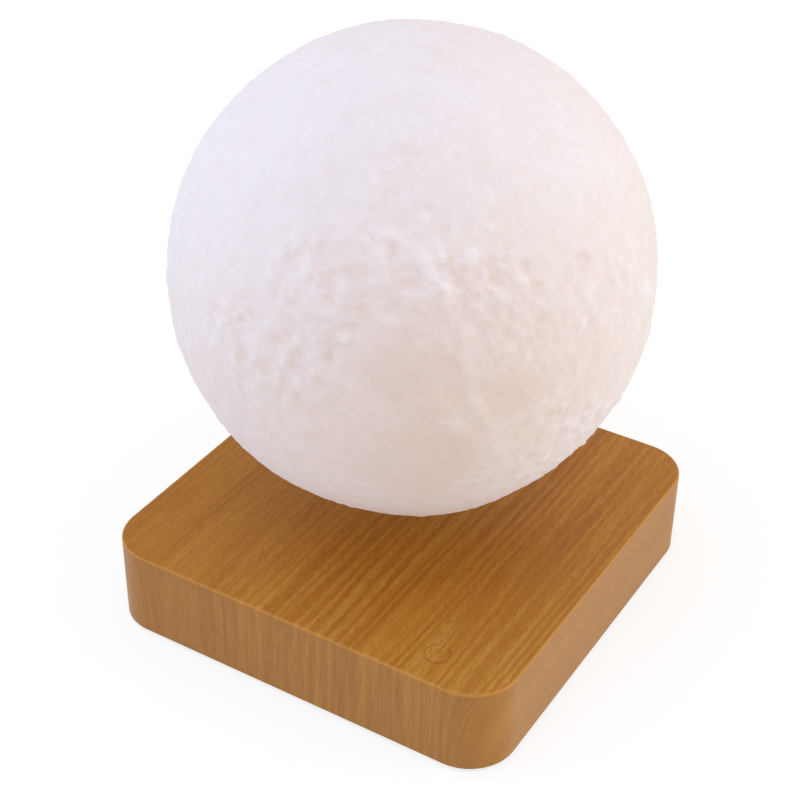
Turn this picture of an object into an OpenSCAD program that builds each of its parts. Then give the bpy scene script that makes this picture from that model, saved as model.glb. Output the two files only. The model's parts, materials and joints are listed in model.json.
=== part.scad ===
// Levitating moon lamp: a square base with a wood-grain housing holds a magnetic levitation drive,
// and a moon globe with its own magnet, receiver coil and LED board floats above it.
// Frame: millimetres, +Z up, origin on the table under the middle of the base, front (touch mark) at -Y.

/* [Base housing] */
// Side of the square base
base_w = 145; // [142:1:170]
// Radius of the base's upright corners
base_corner_r = 16; // [14:0.5:20]
// Height of the housing's side walls
housing_h = 30.5; // [29:0.5:40]
// Thickness of the housing's side walls
base_wall = 2.5; // [2:0.1:3]
// Thickness of the housing's top
base_top_t = 2.5; // [2:0.1:3]
// Rounding along the housing's top edge
top_edge_r = 1; // [0.4:0.1:1.6]
// Distance from the base's sides to each screw boss
boss_inset = 12.5; // [12:0.5:14]
// Diameter of the screw bosses
boss_d = 8; // [7:0.5:9]
// Thickness of the ribs that tie the bosses to the walls
rib_t = 1.5; // [1:0.1:2]

/* [Touch mark] */
// Distance from the mark's middle to the right side of the base
mark_side_inset = 25.5; // [23:0.5:28]
// Distance from the mark's middle to the front of the base
mark_front_inset = 12; // [11:0.5:14]
// Outer diameter of the mark's ring
mark_d = 8.6; // [7:0.2:10]
// Width of the mark's engraved lines
mark_line = 0.6; // [0.4:0.1:1]
// Length of the mark's bar
mark_bar_l = 4.6; // [3:0.2:6]
// Width of the opening in the mark's ring, round the bar
mark_gap_w = 3.6; // [2.4:0.2:4.4]
// Depth of the engraving
mark_depth = 0.25; // [0.15:0.05:0.5]

/* [Bottom cover] */
// Thickness of the bottom cover
cover_t = 2.5; // [2.3:0.1:3]
// Gap round the cover's edge
cover_gap = 0.2; // [0.1:0.05:0.4]
// Width of the cover's vent slots
vent_w = 2; // [1.5:0.1:3]
// Length of the cover's vent slots
vent_l = 24; // [16:1:30]
// Distance between neighbouring vent slots
vent_pitch = 5; // [4:0.5:6]
// Number of vent slots in each group
vent_count = 5; // [3:1:7]
// Distance from the cover's middle to each group of vents
vent_y = 34; // [28:1:38]

/* [Feet] */
// Diameter of the rubber feet
foot_d = 14; // [10:0.5:16]
// How far the feet hold the housing off the table
foot_standoff = 1.5; // [1:0.1:3]
// Depth of the cover's recess for each foot
foot_recess = 0.8; // [0.4:0.1:1]
// Distance from the base's sides to each foot's middle
foot_inset = 27; // [25:1:30]
// Rounding of the feet's lower edge
foot_edge_r = 0.5; // [0.2:0.1:0.8]

/* [Fasteners] */
// Shank diameter of the cover screws
cover_screw_d = 3; // [2.6:0.1:3.2]
// Length of the cover screws under the head
cover_screw_l = 12; // [10:1:16]
// Thickness of the cover left under each screw's head
cover_screw_floor = 1; // [0.8:0.1:1.1]
// Shank diameter of the tray screws
tray_screw_d = 2.6; // [2.2:0.1:2.8]
// Shank diameter of the core screws
core_screw_d = 3; // [2.6:0.1:3]
// Length of the core screws under the head
core_screw_l = 8; // [6:1:10]
// Shank diameter of the small screws in the moon
moon_screw_d = 2; // [1.6:0.1:2.2]
// Play between a screw's shank and the hole it cuts into, on the radius
thread_play = 0.05; // [0.03:0.01:0.1]
// Play between a screw's shank and a hole it passes through, on the radius
hole_play = 0.2; // [0.15:0.05:0.3]

/* [Levitation stack] */
// Gap between the transmitter coil and the housing's top
ceiling_gap = 0.3; // [0.2:0.1:0.8]
// Thickness of the transmitter coil
tx_coil_t = 2.4; // [1.6:0.2:3]
// Inner diameter of the transmitter coil
tx_coil_in_d = 68; // [66:1:76]
// Outer diameter of the transmitter coil
tx_coil_out_d = 92; // [84:1:94]
// Thickness of the ferrite shield
shield_t = 0.8; // [0.5:0.1:1.2]
// Outer diameter of the ring magnet
ring_magnet_d = 100; // [98:1:102]
// Diameter of the ring magnet's hole
ring_magnet_hole_d = 63; // [62.5:0.5:66]
// Thickness of the ring magnet
ring_magnet_t = 12; // [10:0.5:13]
// Thickness of the tray's floor
tray_floor_t = 1.6; // [1.2:0.1:2]
// Thickness of the tray's walls
tray_wall = 1.4; // [1.2:0.1:1.6]
// How far the tray's walls stay below the ring magnet's top
tray_rim_drop = 2.4; // [1:0.2:6]
// Gap between the tray's walls and the ring magnet
magnet_gap = 0.2; // [0.1:0.05:0.3]
// Distance from the tray's wall to the middle of each screw ear
ear_reach = 4.5; // [4:0.5:5]
// Diameter of the screw ears
ear_d = 8; // [7:0.5:9]
// Width of the arms that carry the screw ears
ear_arm_w = 6; // [4:0.5:6.5]
// Thickness of the main circuit board
board_t = 1.6; // [1.2:0.2:2]
// Gap between the housing's walls and the main circuit board
board_gap = 2; // [1.5:0.5:3]

/* [Electromagnets] */
// Diameter of the electromagnets' bobbins
bobbin_d = 24; // [21:0.5:24]
// Thickness of the bobbins' flanges
flange_t = 1.2; // [0.8:0.1:1.6]
// Thickness of the bobbins' hubs
hub_wall = 1; // [0.8:0.1:1.4]
// Diameter of the iron cores
core_d = 8; // [7:0.5:9]
// How far the copper windings stay inside the bobbins' flanges
winding_inset = 0.8; // [0.4:0.1:2]
// Gap between the bobbins and the tray
bobbin_gap = 0.3; // [0.2:0.1:0.5]
// Gap between the bobbins' tops and the housing's top
bobbin_top_gap = 0.5; // [0.3:0.1:1]
// Diameter of the position sensors' board
sensor_board_d = 9.6; // [9:0.2:10.4]
// Height of the position sensors' board above the main board
sensor_board_z = 9; // [6:0.5:10]
// Thickness of the position sensors' board
sensor_board_t = 1; // [0.8:0.2:1.2]

/* [Power inlet] */
// Bore of the inlet's barrel, for a plug of 5.5 mm
inlet_bore_d = 5.7; // [5.6:0.1:6]
// Diameter of the inlet's centre pin
inlet_pin_d = 2; // [1.9:0.1:2.5]
// Depth of the inlet's bore
inlet_depth = 10; // [9:0.5:10]
// Diameter of the inlet's nose, which shows in the housing's back wall
inlet_nose_d = 8; // [7.8:0.2:9]
// Height of the inlet's axis above the main board
inlet_axis_z = 6.3; // [6:0.1:7]
// Width of the inlet's body
inlet_w = 9; // [8.6:0.2:10]
// Gap between the inlet's nose and the housing's wall
inlet_gap = 0.2; // [0.1:0.05:0.3]

/* [Moon globe] */
// Diameter of the moon globe
moon_d = 150; // [140:1:180]
// Thickness of the globe's wall
moon_wall = 1.6; // [1.5:0.1:2.4]
// Free height between the base's top and the floating moon
levitation_gap = 14; // [8:0.5:20]
// Number of craters on the globe
crater_count = 64; // [30:1:70]
// Radius of the smallest craters
crater_min_r = 2.4; // [2:0.1:3]
// How much larger than the smallest the largest crater may be
crater_growth = 10; // [6:0.5:11]
// Depth of the smallest craters
crater_depth = 0.35; // [0.25:0.05:0.4]

/* [Float module] */
// Diameter of the float magnet
float_magnet_d = 38; // [32:0.5:39]
// Thickness of the float magnet
float_magnet_t = 8; // [6:0.5:9]
// Play round the float magnet in its pocket
float_gap = 0.3; // [0.2:0.1:0.4]
// Diameter of the cap that closes the moon from below
cap_d = 75; // [74:0.5:80]
// Gap between the cap and the hole in the globe
cap_gap = 0.2; // [0.1:0.05:0.3]
// Thinnest wall of the cap under the magnet and the coil
cap_wall = 1.2; // [1:0.1:1.6]
// Thickness of the cap's edge
cap_edge_t = 2.6; // [2.4:0.1:3]
// Inner diameter of the receiver coil
rx_coil_in_d = 50; // [49.5:0.5:52]
// Outer diameter of the receiver coil
rx_coil_out_d = 62; // [57:0.5:62]
// Thickness of the receiver coil
rx_coil_t = 2; // [1.4:0.2:2.4]
// Thickness of the lip that the cap is screwed to
lip_t = 3; // [2.5:0.5:4]
// Thickness of the plate that holds the magnet down
carrier_t = 1.5; // [1.2:0.1:2]
// Height of the spacers between that plate and the LED board
spacer_h = 3; // [2.6:0.2:5]
// Diameter of the LED board
led_board_d = 54; // [53:0.5:58]
// Thickness of the LED board
led_board_t = 1.6; // [1:0.2:2]
// Number of LEDs in the outer ring
led_outer_count = 8; // [6:1:10]
// Radius of the outer ring of LEDs
led_outer_r = 16; // [14:0.5:18]
// Number of LEDs in the inner ring
led_inner_count = 4; // [3:1:5]
// Radius of the inner ring of LEDs
led_inner_r = 8; // [6:0.5:10]

/* [Hidden] */
$fn = 96;
quarter = 90;
golden_angle = 137.508;
eps = 0.01;
cut_margin = 1;

// Heights in the base, worked down from the housing's top
base_top_z = foot_standoff + housing_h;
ceiling_z = base_top_z - base_top_t;
tx_coil_z = ceiling_z - ceiling_gap - tx_coil_t;
shield_z = tx_coil_z - shield_t;
ring_magnet_z = shield_z - ring_magnet_t;
board_top_z = ring_magnet_z - tray_floor_t;
board_z = board_top_z - board_t;
cover_top_z = foot_standoff + cover_t;

// Places in the base
corners = [[1, 1], [-1, 1], [-1, -1], [1, -1]];
boss_xy = base_w / 2 - boss_inset;
foot_xy = base_w / 2 - foot_inset;
inner_w = base_w - 2 * base_wall;
inner_corner_r = base_corner_r - base_wall;
board_w = inner_w - 2 * board_gap;
board_corner_r = inner_corner_r - board_gap;
mark_x = base_w / 2 - mark_side_inset;
mark_y = mark_front_inset - base_w / 2;

// Sizes of the levitation drive
tray_out_r = ring_magnet_d / 2 + magnet_gap + tray_wall;
tray_in_r = ring_magnet_hole_d / 2 - magnet_gap - tray_wall;
ear_xy = (tray_out_r + ear_reach) * cos(45);
bobbin_circle_r = tray_in_r - bobbin_gap - bobbin_d / 2;
bobbin_h = ceiling_z - bobbin_top_gap - board_top_z;
core_play = 0.1;
bobbin_bore_d = core_d + 2 * core_play;
hub_d = bobbin_bore_d + 2 * hub_wall;
winding_play = 0.1;
winding_r = bobbin_d / 2 - winding_inset;
boss_hole_tip = 1.5;
screw_head_ratio = 1.9;
cover_screw_seat_z = cover_top_z - cover_screw_floor;
cover_head_h = 1.2;
tray_screw_grip = 5;
tray_screw_l = tray_floor_t + board_t + tray_screw_grip;
tray_head_h = 1.6;
core_head_h = 1.8;
core_hole_tip = 1;
shield_inset = 1;
standoff_d = 6.4;
standoff_floor = 0.6;

// Pins and sensors
bobbin_pin_r = 0.4;
bobbin_pin_inset = 2.2;
sensor_pin_r = 0.3;
sensor_pin_xy = 2;
pin_play = 0.1;
pin_end = 1;
hall_reach = 2.2;
hall_w = 3.8;
hall_t = 1.5;
hall_h = 3;
hall_back_d = 4;

// Small parts on the main board
edge_part_inset = 6;
capacitor_d = 8;
capacitor_h = 10;
capacitor_pitch = 10;
capacitor_mark_w = 0.4;
capacitor_mark_l = 6;
capacitor_mark_depth = 0.3;
capacitor_crimp_z = 1.2;
capacitor_crimp_h = 0.8;
capacitor_crimp_depth = 0.3;
chip_pitch = 9.5;
chip_w = 6.2;
chip_l = 6.6;
chip_h = 2.3;
control_w = 6.5;
control_h = 1.1;
inductor_w = 8;
inductor_h = 4;
inductor_x = -20;
inductor_chamfer = 0.6;
tuning_w = 5;
tuning_l = 10;
tuning_h = 8;
tuning_x = 16;
touch_wire_r = 0.4;
touch_coil_r = 2.6;
touch_turns = 6;
touch_steps = 14;
touch_sides = 6;
touch_play = 0.02;

// Power inlet
inlet_recess = 0.3;
inlet_y = base_w / 2 - inlet_recess;
inlet_z = board_top_z + inlet_axis_z;
inlet_back_t = 3;
inlet_l = inlet_depth + inlet_back_t;
inlet_pin_short = 0.8;
inlet_stem_d = 1.4;
inlet_stem_end = 0.5;
contact_w = 1.6;
contact_t = 0.3;
contact_bump_r = 0.45;
contact_play = 0.1;
contact_slot_w = contact_w + 4 * contact_play;
contact_slot_short = 2;
contact_slot_l = inlet_depth - contact_slot_short;
contact_slot_floor_z = inlet_z - inlet_bore_d / 2 - contact_t - 4 * contact_play;

// How far the globe's outside rises above its lowest point at a distance r from the axis
function sag(r) = moon_r - sqrt(moon_r * moon_r - r * r);

// Heights in the moon, worked up from its lowest point
moon_r = moon_d / 2;
moon_bottom_z = base_top_z + levitation_gap;
moon_centre_z = moon_bottom_z + moon_r;
cap_r = cap_d / 2;
pocket_r = float_magnet_d / 2 + float_gap;
pocket_z = moon_bottom_z + sag(pocket_r) + cap_wall;
pocket_wall = 1.6;
float_magnet_z = pocket_z + float_gap;
carrier_z = float_magnet_z + float_magnet_t + float_gap;
spacer_z = carrier_z + carrier_t;
led_board_z = spacer_z + spacer_h;
led_top_z = led_board_z + led_board_t;

// Places in the moon
thirds = [0, 120, 240];
rx_play = 0.2;
shelf_r = rx_coil_out_d / 2 + rx_play;
shelf_z = moon_bottom_z + sag(shelf_r) + cap_wall;
cap_top_z = moon_bottom_z + sag(cap_r) + cap_edge_t;
lip_step = 0.2;
lip_in_r = shelf_r + lip_step;
cap_screw_r = (lip_in_r + cap_r) / 2;
cap_screw_floor = 1.4;
screw_tip_play = 0.4;
cap_screw_l = cap_screw_floor + lip_t - screw_tip_play;
moon_head_h = 1.2;
post_r = 2.1;
post_gap = 0.3;
post_circle_r = rx_coil_in_d / 2 - post_r - post_gap;
post_grip = 3.4;
carrier_rim = 0.15;
carrier_r = post_circle_r + post_r + carrier_rim;
led_screw_l = led_board_t + spacer_h + carrier_t + post_grip;

// Coil leads
lead_r = 0.35;
lead_play = 0.05;
rx_lead_inset = 0.5;
rx_lead_angle = 6;
rx_lead_circle_r = rx_coil_in_d / 2 + rx_lead_inset;
tx_lead_reach = 2.2;
tx_lead_angle = 4;
tx_lead_circle_r = tray_out_r + tx_lead_reach;

// Small parts on the LED board
led_w = 2.8;
led_l = 3.5;
led_h = 0.7;
led_lens_r = 1.1;
led_lens_h = 0.1;
rectifier_size = [5, 6, 1.6];
smoothing_size = [2, 3.2, 1.4];
smoothing_x = 6;

// Craters are spread evenly over the globe along a spiral, and their sizes vary by a fixed sequence
crater_spread = 0.754877;
crater_start = 0.3;
crater_skew = 2.4;
crater_slope = 0.05;
crater_least_bowl = 0.04;
crater_cap_angle = 1;
function fraction(x) = x - floor(x);
function crater_r(i) = crater_min_r
    + crater_growth * pow(fraction(i * crater_spread + crater_start), crater_skew);
function crater_d(i) = crater_depth + crater_slope * crater_r(i);
function crater_up(i) = 1 - 2 * (i + 0.5) / crater_count;
function crater_bowl(i) = crater_d(i) - sag(crater_r(i));
// The angle at the globe's middle between the cap's axis and the crater's nearer edge
function crater_edge_angle(i) = acos(-crater_up(i)) - asin(crater_r(i) / moon_r);
// A crater is cut only where its bowl is deeper than the globe's own curve and stays clear of the cap
function crater_fits(i) = crater_bowl(i) > crater_least_bowl
    && crater_edge_angle(i) > asin((cap_r + cap_gap) / moon_r) + crater_cap_angle;

// ---------- shared shapes ----------

// A square prism with round upright corners
module round_prism(w, r, h) {
    side = w - 2 * r;
    translate([-side / 2, -w / 2, 0]) cube([side, w, h]);
    translate([-w / 2, -side / 2, 0]) cube([w, side, h]);
    for (c = corners) translate([c[0] * side / 2, c[1] * side / 2, 0]) cylinder(r = r, h = h);
}

// Half of the housing's section: flat top, rounded outer edge
module edge_section(reach, h, edge) {
    square([reach, h - edge]);
    square([reach - edge, h]);
    translate([reach - edge, h - edge]) circle(r = edge);
}

// The housing's outside: four straight sides and four corners of one section round a flat middle
module housing_outside() {
    side = base_w - 2 * base_corner_r;
    translate([-side / 2, -side / 2, 0]) cube([side, side, housing_h]);
    for (k = [0:3]) rotate([0, 0, k * quarter]) {
        translate([side / 2, side / 2, 0]) rotate([quarter, 0, 0])
            linear_extrude(height = side) edge_section(base_corner_r, housing_h, top_edge_r);
        translate([side / 2, side / 2, 0]) rotate_extrude(angle = quarter)
            edge_section(base_corner_r, housing_h, top_edge_r);
    }
}

module tube(out_r, in_r, h) {
    difference() {
        cylinder(r = out_r, h = h);
        translate([0, 0, -eps]) cylinder(r = in_r, h = h + 2 * eps);
    }
}

// A pan-head screw: its head hangs from z = 0 down, its shank rises from there
module pan_screw(d, l, head_h) {
    head_r = d * screw_head_ratio / 2;
    edge_r = head_h / 2;
    slot_w = d * 0.22;
    slot_l = d * 1.1;
    difference() {
        union() {
            rotate_extrude() {
                translate([0, -edge_r]) square([head_r, edge_r]);
                translate([0, -head_h]) square([head_r - edge_r, head_h]);
                translate([head_r - edge_r, -edge_r]) circle(r = edge_r);
            }
            cylinder(d = d, h = l);
        }
        for (a = [0, quarter]) rotate([0, 0, a])
            translate([-slot_l / 2, -slot_w / 2, -head_h - eps]) cube([slot_l, slot_w, edge_r]);
    }
}

// ---------- base ----------

module touch_mark_cut() {
    ring_r = mark_d / 2;
    difference() {
        cylinder(r = ring_r, h = mark_depth + eps);
        translate([0, 0, -eps]) cylinder(r = ring_r - mark_line, h = mark_depth + 3 * eps);
        translate([-mark_gap_w / 2, 0, -eps]) cube([mark_gap_w, mark_d, mark_depth + 3 * eps]);
    }
    translate([-mark_line / 2, ring_r + mark_line - mark_bar_l, 0])
        cube([mark_line, mark_bar_l, mark_depth + eps]);
}

// A rib from a boss into the nearer side wall
module boss_rib(l) {
    translate([0, -rib_t / 2, cover_top_z]) cube([boss_inset - base_wall / 2, rib_t, l]);
}

module base_housing() color("peru") {
    boss_l = ceiling_z - cover_top_z + eps;
    hole_l = cover_screw_l - cover_screw_floor + boss_hole_tip;
    difference() {
        union() {
            difference() {
                translate([0, 0, foot_standoff]) housing_outside();
                translate([0, 0, foot_standoff - eps])
                    round_prism(inner_w, inner_corner_r, ceiling_z - foot_standoff + eps);
            }
            for (k = [0:3]) rotate([0, 0, k * quarter]) translate([boss_xy, boss_xy, 0]) {
                translate([0, 0, cover_top_z]) cylinder(d = boss_d, h = boss_l);
                boss_rib(boss_l);
                rotate([0, 0, quarter]) boss_rib(boss_l);
            }
        }
        for (c = corners) translate([c[0] * boss_xy, c[1] * boss_xy, cover_top_z - eps])
            cylinder(r = cover_screw_d / 2 + thread_play, h = hole_l);
        translate([0, base_w / 2 + cut_margin, inlet_z]) rotate([quarter, 0, 0])
            cylinder(r = inlet_nose_d / 2 + inlet_gap, h = base_wall + 2 * cut_margin);
        translate([mark_x, mark_y, base_top_z - mark_depth]) touch_mark_cut();
    }
}

module vent_group() {
    for (k = [0:vent_count - 1])
        translate([-vent_l / 2, (k - (vent_count - 1) / 2) * vent_pitch - vent_w / 2, 0])
            cube([vent_l, vent_w, cover_t + 2 * eps]);
}

module bottom_cover() color("dimgray") {
    cover_w = inner_w - 2 * cover_gap;
    standoff_l = board_z - cover_top_z;
    head_r = cover_screw_d * screw_head_ratio / 2;
    difference() {
        union() {
            translate([0, 0, foot_standoff])
                round_prism(cover_w, inner_corner_r - cover_gap, cover_t);
            for (c = corners) translate([c[0] * ear_xy, c[1] * ear_xy, cover_top_z - eps])
                cylinder(d = standoff_d, h = standoff_l + eps);
        }
        for (c = corners) {
            translate([c[0] * boss_xy, c[1] * boss_xy, foot_standoff - eps]) {
                cylinder(r = cover_screw_d / 2 + hole_play, h = cover_t + 2 * eps);
                cylinder(r = head_r + hole_play, h = cover_t - cover_screw_floor + eps);
            }
            translate([c[0] * foot_xy, c[1] * foot_xy, foot_standoff - eps])
                cylinder(r = foot_d / 2 + cover_gap, h = foot_recess + eps);
            translate([c[0] * ear_xy, c[1] * ear_xy, foot_standoff + foot_recess + standoff_floor])
                cylinder(r = tray_screw_d / 2 + thread_play, h = cover_t + standoff_l);
        }
        for (s = [-1, 1]) translate([0, s * vent_y, foot_standoff - eps]) vent_group();
    }
}

module rubber_feet() color("black") {
    foot_h = foot_standoff + foot_recess;
    r = foot_d / 2;
    for (c = corners) translate([c[0] * foot_xy, c[1] * foot_xy, 0]) rotate_extrude() {
        translate([0, foot_edge_r]) square([r, foot_h - foot_edge_r]);
        square([r - foot_edge_r, foot_h]);
        translate([r - foot_edge_r, foot_edge_r]) circle(r = foot_edge_r);
    }
}

module cover_screws() color("silver")
    for (c = corners) translate([c[0] * boss_xy, c[1] * boss_xy, cover_screw_seat_z])
        pan_screw(cover_screw_d, cover_screw_l, cover_head_h);

// ---------- circuit board and levitation drive ----------

module at_bobbins() {
    for (k = [0:3]) rotate([0, 0, k * quarter]) translate([bobbin_circle_r, 0, 0]) children();
}

module at_bobbin_pins() {
    pin_y = bobbin_d / 2 - bobbin_pin_inset;
    at_bobbins() for (s = [-1, 1]) translate([0, s * pin_y, 0]) children();
}

module at_sensor_pins() {
    for (c = corners) translate([c[0] * sensor_pin_xy, c[1] * sensor_pin_xy, 0]) children();
}

// Room for the housing's corner bosses and their ribs
module board_notch() {
    notch_r = boss_d / 2 + board_gap / 2;
    reach = base_w / 2;
    h = board_t + 2 * eps;
    cylinder(r = notch_r, h = h);
    translate([0, -notch_r, 0]) cube([reach, notch_r + reach, h]);
    translate([-notch_r, 0, 0]) cube([notch_r + reach, reach, h]);
}

module main_board() color("darkgreen") {
    h = board_t + 2 * eps;
    translate([0, 0, board_z]) difference() {
        round_prism(board_w, board_corner_r, board_t);
        translate([0, 0, -eps]) {
            for (k = [0:3]) rotate([0, 0, k * quarter]) translate([boss_xy, boss_xy, 0])
                board_notch();
            for (c = corners) translate([c[0] * ear_xy, c[1] * ear_xy, 0])
                cylinder(r = tray_screw_d / 2 + hole_play, h = h);
            at_bobbins() cylinder(r = core_screw_d / 2 + hole_play, h = h);
            at_bobbin_pins() cylinder(r = bobbin_pin_r + pin_play, h = h);
            at_sensor_pins() cylinder(r = sensor_pin_r + pin_play, h = h);
        }
    }
}

module magnet_tray() color("dimgray") {
    wall_h = ring_magnet_t - tray_rim_drop;
    translate([0, 0, board_top_z]) {
        difference() {
            union() {
                cylinder(r = tray_out_r, h = tray_floor_t);
                for (c = corners) translate([c[0] * ear_xy, c[1] * ear_xy, 0])
                    cylinder(d = ear_d, h = tray_floor_t);
                for (a = [45:quarter:315]) rotate([0, 0, a]) translate([0, -ear_arm_w / 2, 0])
                    cube([tray_out_r + ear_reach, ear_arm_w, tray_floor_t]);
            }
            translate([0, 0, -eps]) cylinder(r = tray_in_r, h = tray_floor_t + 2 * eps);
            for (c = corners) translate([c[0] * ear_xy, c[1] * ear_xy, -eps])
                cylinder(r = tray_screw_d / 2 + hole_play, h = tray_floor_t + 2 * eps);
        }
        translate([0, 0, tray_floor_t - eps]) {
            tube(tray_out_r, tray_out_r - tray_wall, wall_h);
            tube(tray_in_r + tray_wall, tray_in_r, wall_h);
        }
    }
}

module tray_screws() color("silver") {
    for (c = corners) translate([c[0] * ear_xy, c[1] * ear_xy, board_top_z + tray_floor_t])
        mirror([0, 0, 1]) pan_screw(tray_screw_d, tray_screw_l, tray_head_h);
}

module ring_magnet() color("darkslategray")
    translate([0, 0, ring_magnet_z])
        tube(ring_magnet_d / 2, ring_magnet_hole_d / 2, ring_magnet_t);

module ferrite_shield() color("dimgray")
    translate([0, 0, shield_z])
        tube(ring_magnet_d / 2 - shield_inset, ring_magnet_hole_d / 2, shield_t);

module transmitter_coil() color("chocolate")
    translate([0, 0, tx_coil_z]) tube(tx_coil_out_d / 2, tx_coil_in_d / 2, tx_coil_t);

// Two enamelled wires: out from the coil's rim, over the tray's wall and down to the board
module transmitter_leads() color("chocolate") {
    wire_z = tx_coil_z + tx_coil_t / 2;
    start_r = tx_coil_out_d / 2 + lead_play;
    for (a = [-tx_lead_angle, tx_lead_angle]) rotate([0, 0, a - quarter]) {
        translate([start_r, 0, wire_z]) rotate([0, quarter, 0])
            cylinder(r = lead_r, h = tx_lead_circle_r - start_r);
        translate([tx_lead_circle_r, 0, wire_z]) sphere(r = lead_r);
        translate([tx_lead_circle_r, 0, board_top_z])
            cylinder(r = lead_r, h = wire_z - board_top_z);
    }
}

module coil_bobbins() color("ivory") at_bobbins() translate([0, 0, board_top_z]) {
    tube(bobbin_d / 2, bobbin_bore_d / 2, flange_t);
    translate([0, 0, bobbin_h - flange_t]) tube(bobbin_d / 2, bobbin_bore_d / 2, flange_t);
    tube(hub_d / 2, bobbin_bore_d / 2, bobbin_h);
}

module coil_windings() color("chocolate") at_bobbins()
    translate([0, 0, board_top_z + flange_t + winding_play])
        tube(winding_r, hub_d / 2 + winding_play, bobbin_h - 2 * flange_t - 2 * winding_play);

module coil_cores() color("silver") at_bobbins() translate([0, 0, board_top_z]) difference() {
    cylinder(d = core_d, h = bobbin_h);
    translate([0, 0, -eps])
        cylinder(r = core_screw_d / 2 + thread_play, h = core_screw_l - board_t + core_hole_tip);
}

module core_screws() color("silver") at_bobbins()
    translate([0, 0, board_z]) pan_screw(core_screw_d, core_screw_l, core_head_h);

module bobbin_pins() color("gold") at_bobbin_pins()
    translate([0, 0, board_z - pin_end]) cylinder(r = bobbin_pin_r, h = board_t + pin_end);

module sensor_board() color("darkgreen") translate([0, 0, board_top_z + sensor_board_z])
    difference() {
        cylinder(d = sensor_board_d, h = sensor_board_t);
        translate([0, 0, -eps]) at_sensor_pins()
            cylinder(r = sensor_pin_r + thread_play, h = sensor_board_t + 2 * eps);
    }

module sensor_pins() color("gold") at_sensor_pins() translate([0, 0, board_z - pin_end])
    cylinder(r = sensor_pin_r, h = pin_end + board_t + sensor_board_z + sensor_board_t);

// Three small sensors, one for each direction, standing round the middle
module hall_sensors() color("black")
    translate([0, 0, board_top_z + sensor_board_z + sensor_board_t])
        for (a = [0, quarter, 2 * quarter]) rotate([0, 0, a]) translate([hall_reach, 0, 0])
            intersection() {
                translate([0, -hall_w / 2, 0]) cube([hall_t, hall_w, hall_h]);
                cylinder(d = hall_back_d, h = hall_h);
            }

// ---------- parts on the board's edges ----------

module capacitor() {
    r = capacitor_d / 2;
    difference() {
        cylinder(r = r, h = capacitor_h);
        for (a = [0, quarter]) rotate([0, 0, a])
            translate([-capacitor_mark_l / 2, -capacitor_mark_w / 2, capacitor_h - capacitor_mark_depth])
                cube([capacitor_mark_l, capacitor_mark_w, capacitor_mark_depth + eps]);
        translate([0, 0, capacitor_crimp_z])
            tube(r + cut_margin, r - capacitor_crimp_depth, capacitor_crimp_h);
    }
}

module power_capacitors() color("midnightblue")
    for (k = [-1:1])
        translate([edge_part_inset - board_w / 2, k * capacitor_pitch, board_top_z]) capacitor();

module driver_chips() color("black")
    for (k = [0:3])
        translate([board_w / 2 - edge_part_inset - chip_w / 2, (k - 1.5) * chip_pitch - chip_l / 2,
                board_top_z])
            cube([chip_w, chip_l, chip_h]);

module control_chip() color("black")
    translate([-control_w / 2, edge_part_inset - board_w / 2 - control_w / 2, board_top_z])
        cube([control_w, control_w, control_h]);

module power_inductor() color("dimgray") {
    reach = (inductor_w - inductor_chamfer) / sqrt(2);
    translate([inductor_x, edge_part_inset - board_w / 2, board_top_z]) intersection() {
        translate([-inductor_w / 2, -inductor_w / 2, 0]) cube([inductor_w, inductor_w, inductor_h]);
        rotate([0, 0, 45]) translate([-reach, -reach, 0]) cube([2 * reach, 2 * reach, inductor_h]);
    }
}

module tuning_capacitors() color("darkred")
    for (s = [-1, 1])
        translate([s * tuning_x - tuning_l / 2, board_w / 2 - edge_part_inset - tuning_w / 2,
                board_top_z])
            cube([tuning_l, tuning_w, tuning_h]);

// The wire of the touch spring: one tube swept up a helix, from the board to the housing's top
function touch_ring(angle, z) = [for (s = [0:touch_sides - 1])
    let (b = s * 360 / touch_sides, r = touch_coil_r + touch_wire_r * cos(b))
        [r * cos(angle), r * sin(angle), z + touch_wire_r * sin(b)]];

module touch_spring() color("gold") {
    start_z = board_top_z + touch_wire_r + touch_play;
    rise = ceiling_z - board_top_z - 2 * (touch_wire_r + touch_play);
    last = touch_turns * touch_steps;
    points = [for (i = [0:last]) each touch_ring(i * 360 / touch_steps, start_z + rise * i / last)];
    walls = [for (i = [0:last - 1]) for (s = [0:touch_sides - 1])
        let (p = i * touch_sides + s, q = i * touch_sides + (s + 1) % touch_sides)
            each [[p, p + touch_sides, q], [q, p + touch_sides, q + touch_sides]]];
    first_cap = [for (s = [1:touch_sides - 2]) [0, s, s + 1]];
    end = last * touch_sides;
    last_cap = [for (s = [1:touch_sides - 2]) [end, end + s + 1, end + s]];
    translate([mark_x, mark_y, 0])
        polyhedron(points = points, faces = concat(first_cap, walls, last_cap));
}

// ---------- power inlet ----------

module inlet_body() color("black") {
    nose_l = base_wall + board_gap;
    difference() {
        union() {
            translate([-inlet_w / 2, inlet_y - inlet_l, board_top_z])
                cube([inlet_w, inlet_l - nose_l, inlet_axis_z + inlet_w / 2]);
            translate([0, inlet_y, inlet_z]) rotate([quarter, 0, 0])
                cylinder(d = inlet_nose_d, h = nose_l + cut_margin);
        }
        translate([0, inlet_y + eps, inlet_z]) rotate([quarter, 0, 0])
            cylinder(d = inlet_bore_d, h = inlet_depth + eps);
        translate([0, inlet_y, inlet_z]) rotate([quarter, 0, 0])
            cylinder(r = inlet_stem_d / 2 + thread_play, h = inlet_l + cut_margin);
        translate([-contact_slot_w / 2, inlet_y - inlet_depth, contact_slot_floor_z])
            cube([contact_slot_w, contact_slot_l, inlet_z - contact_slot_floor_z]);
    }
}

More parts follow.
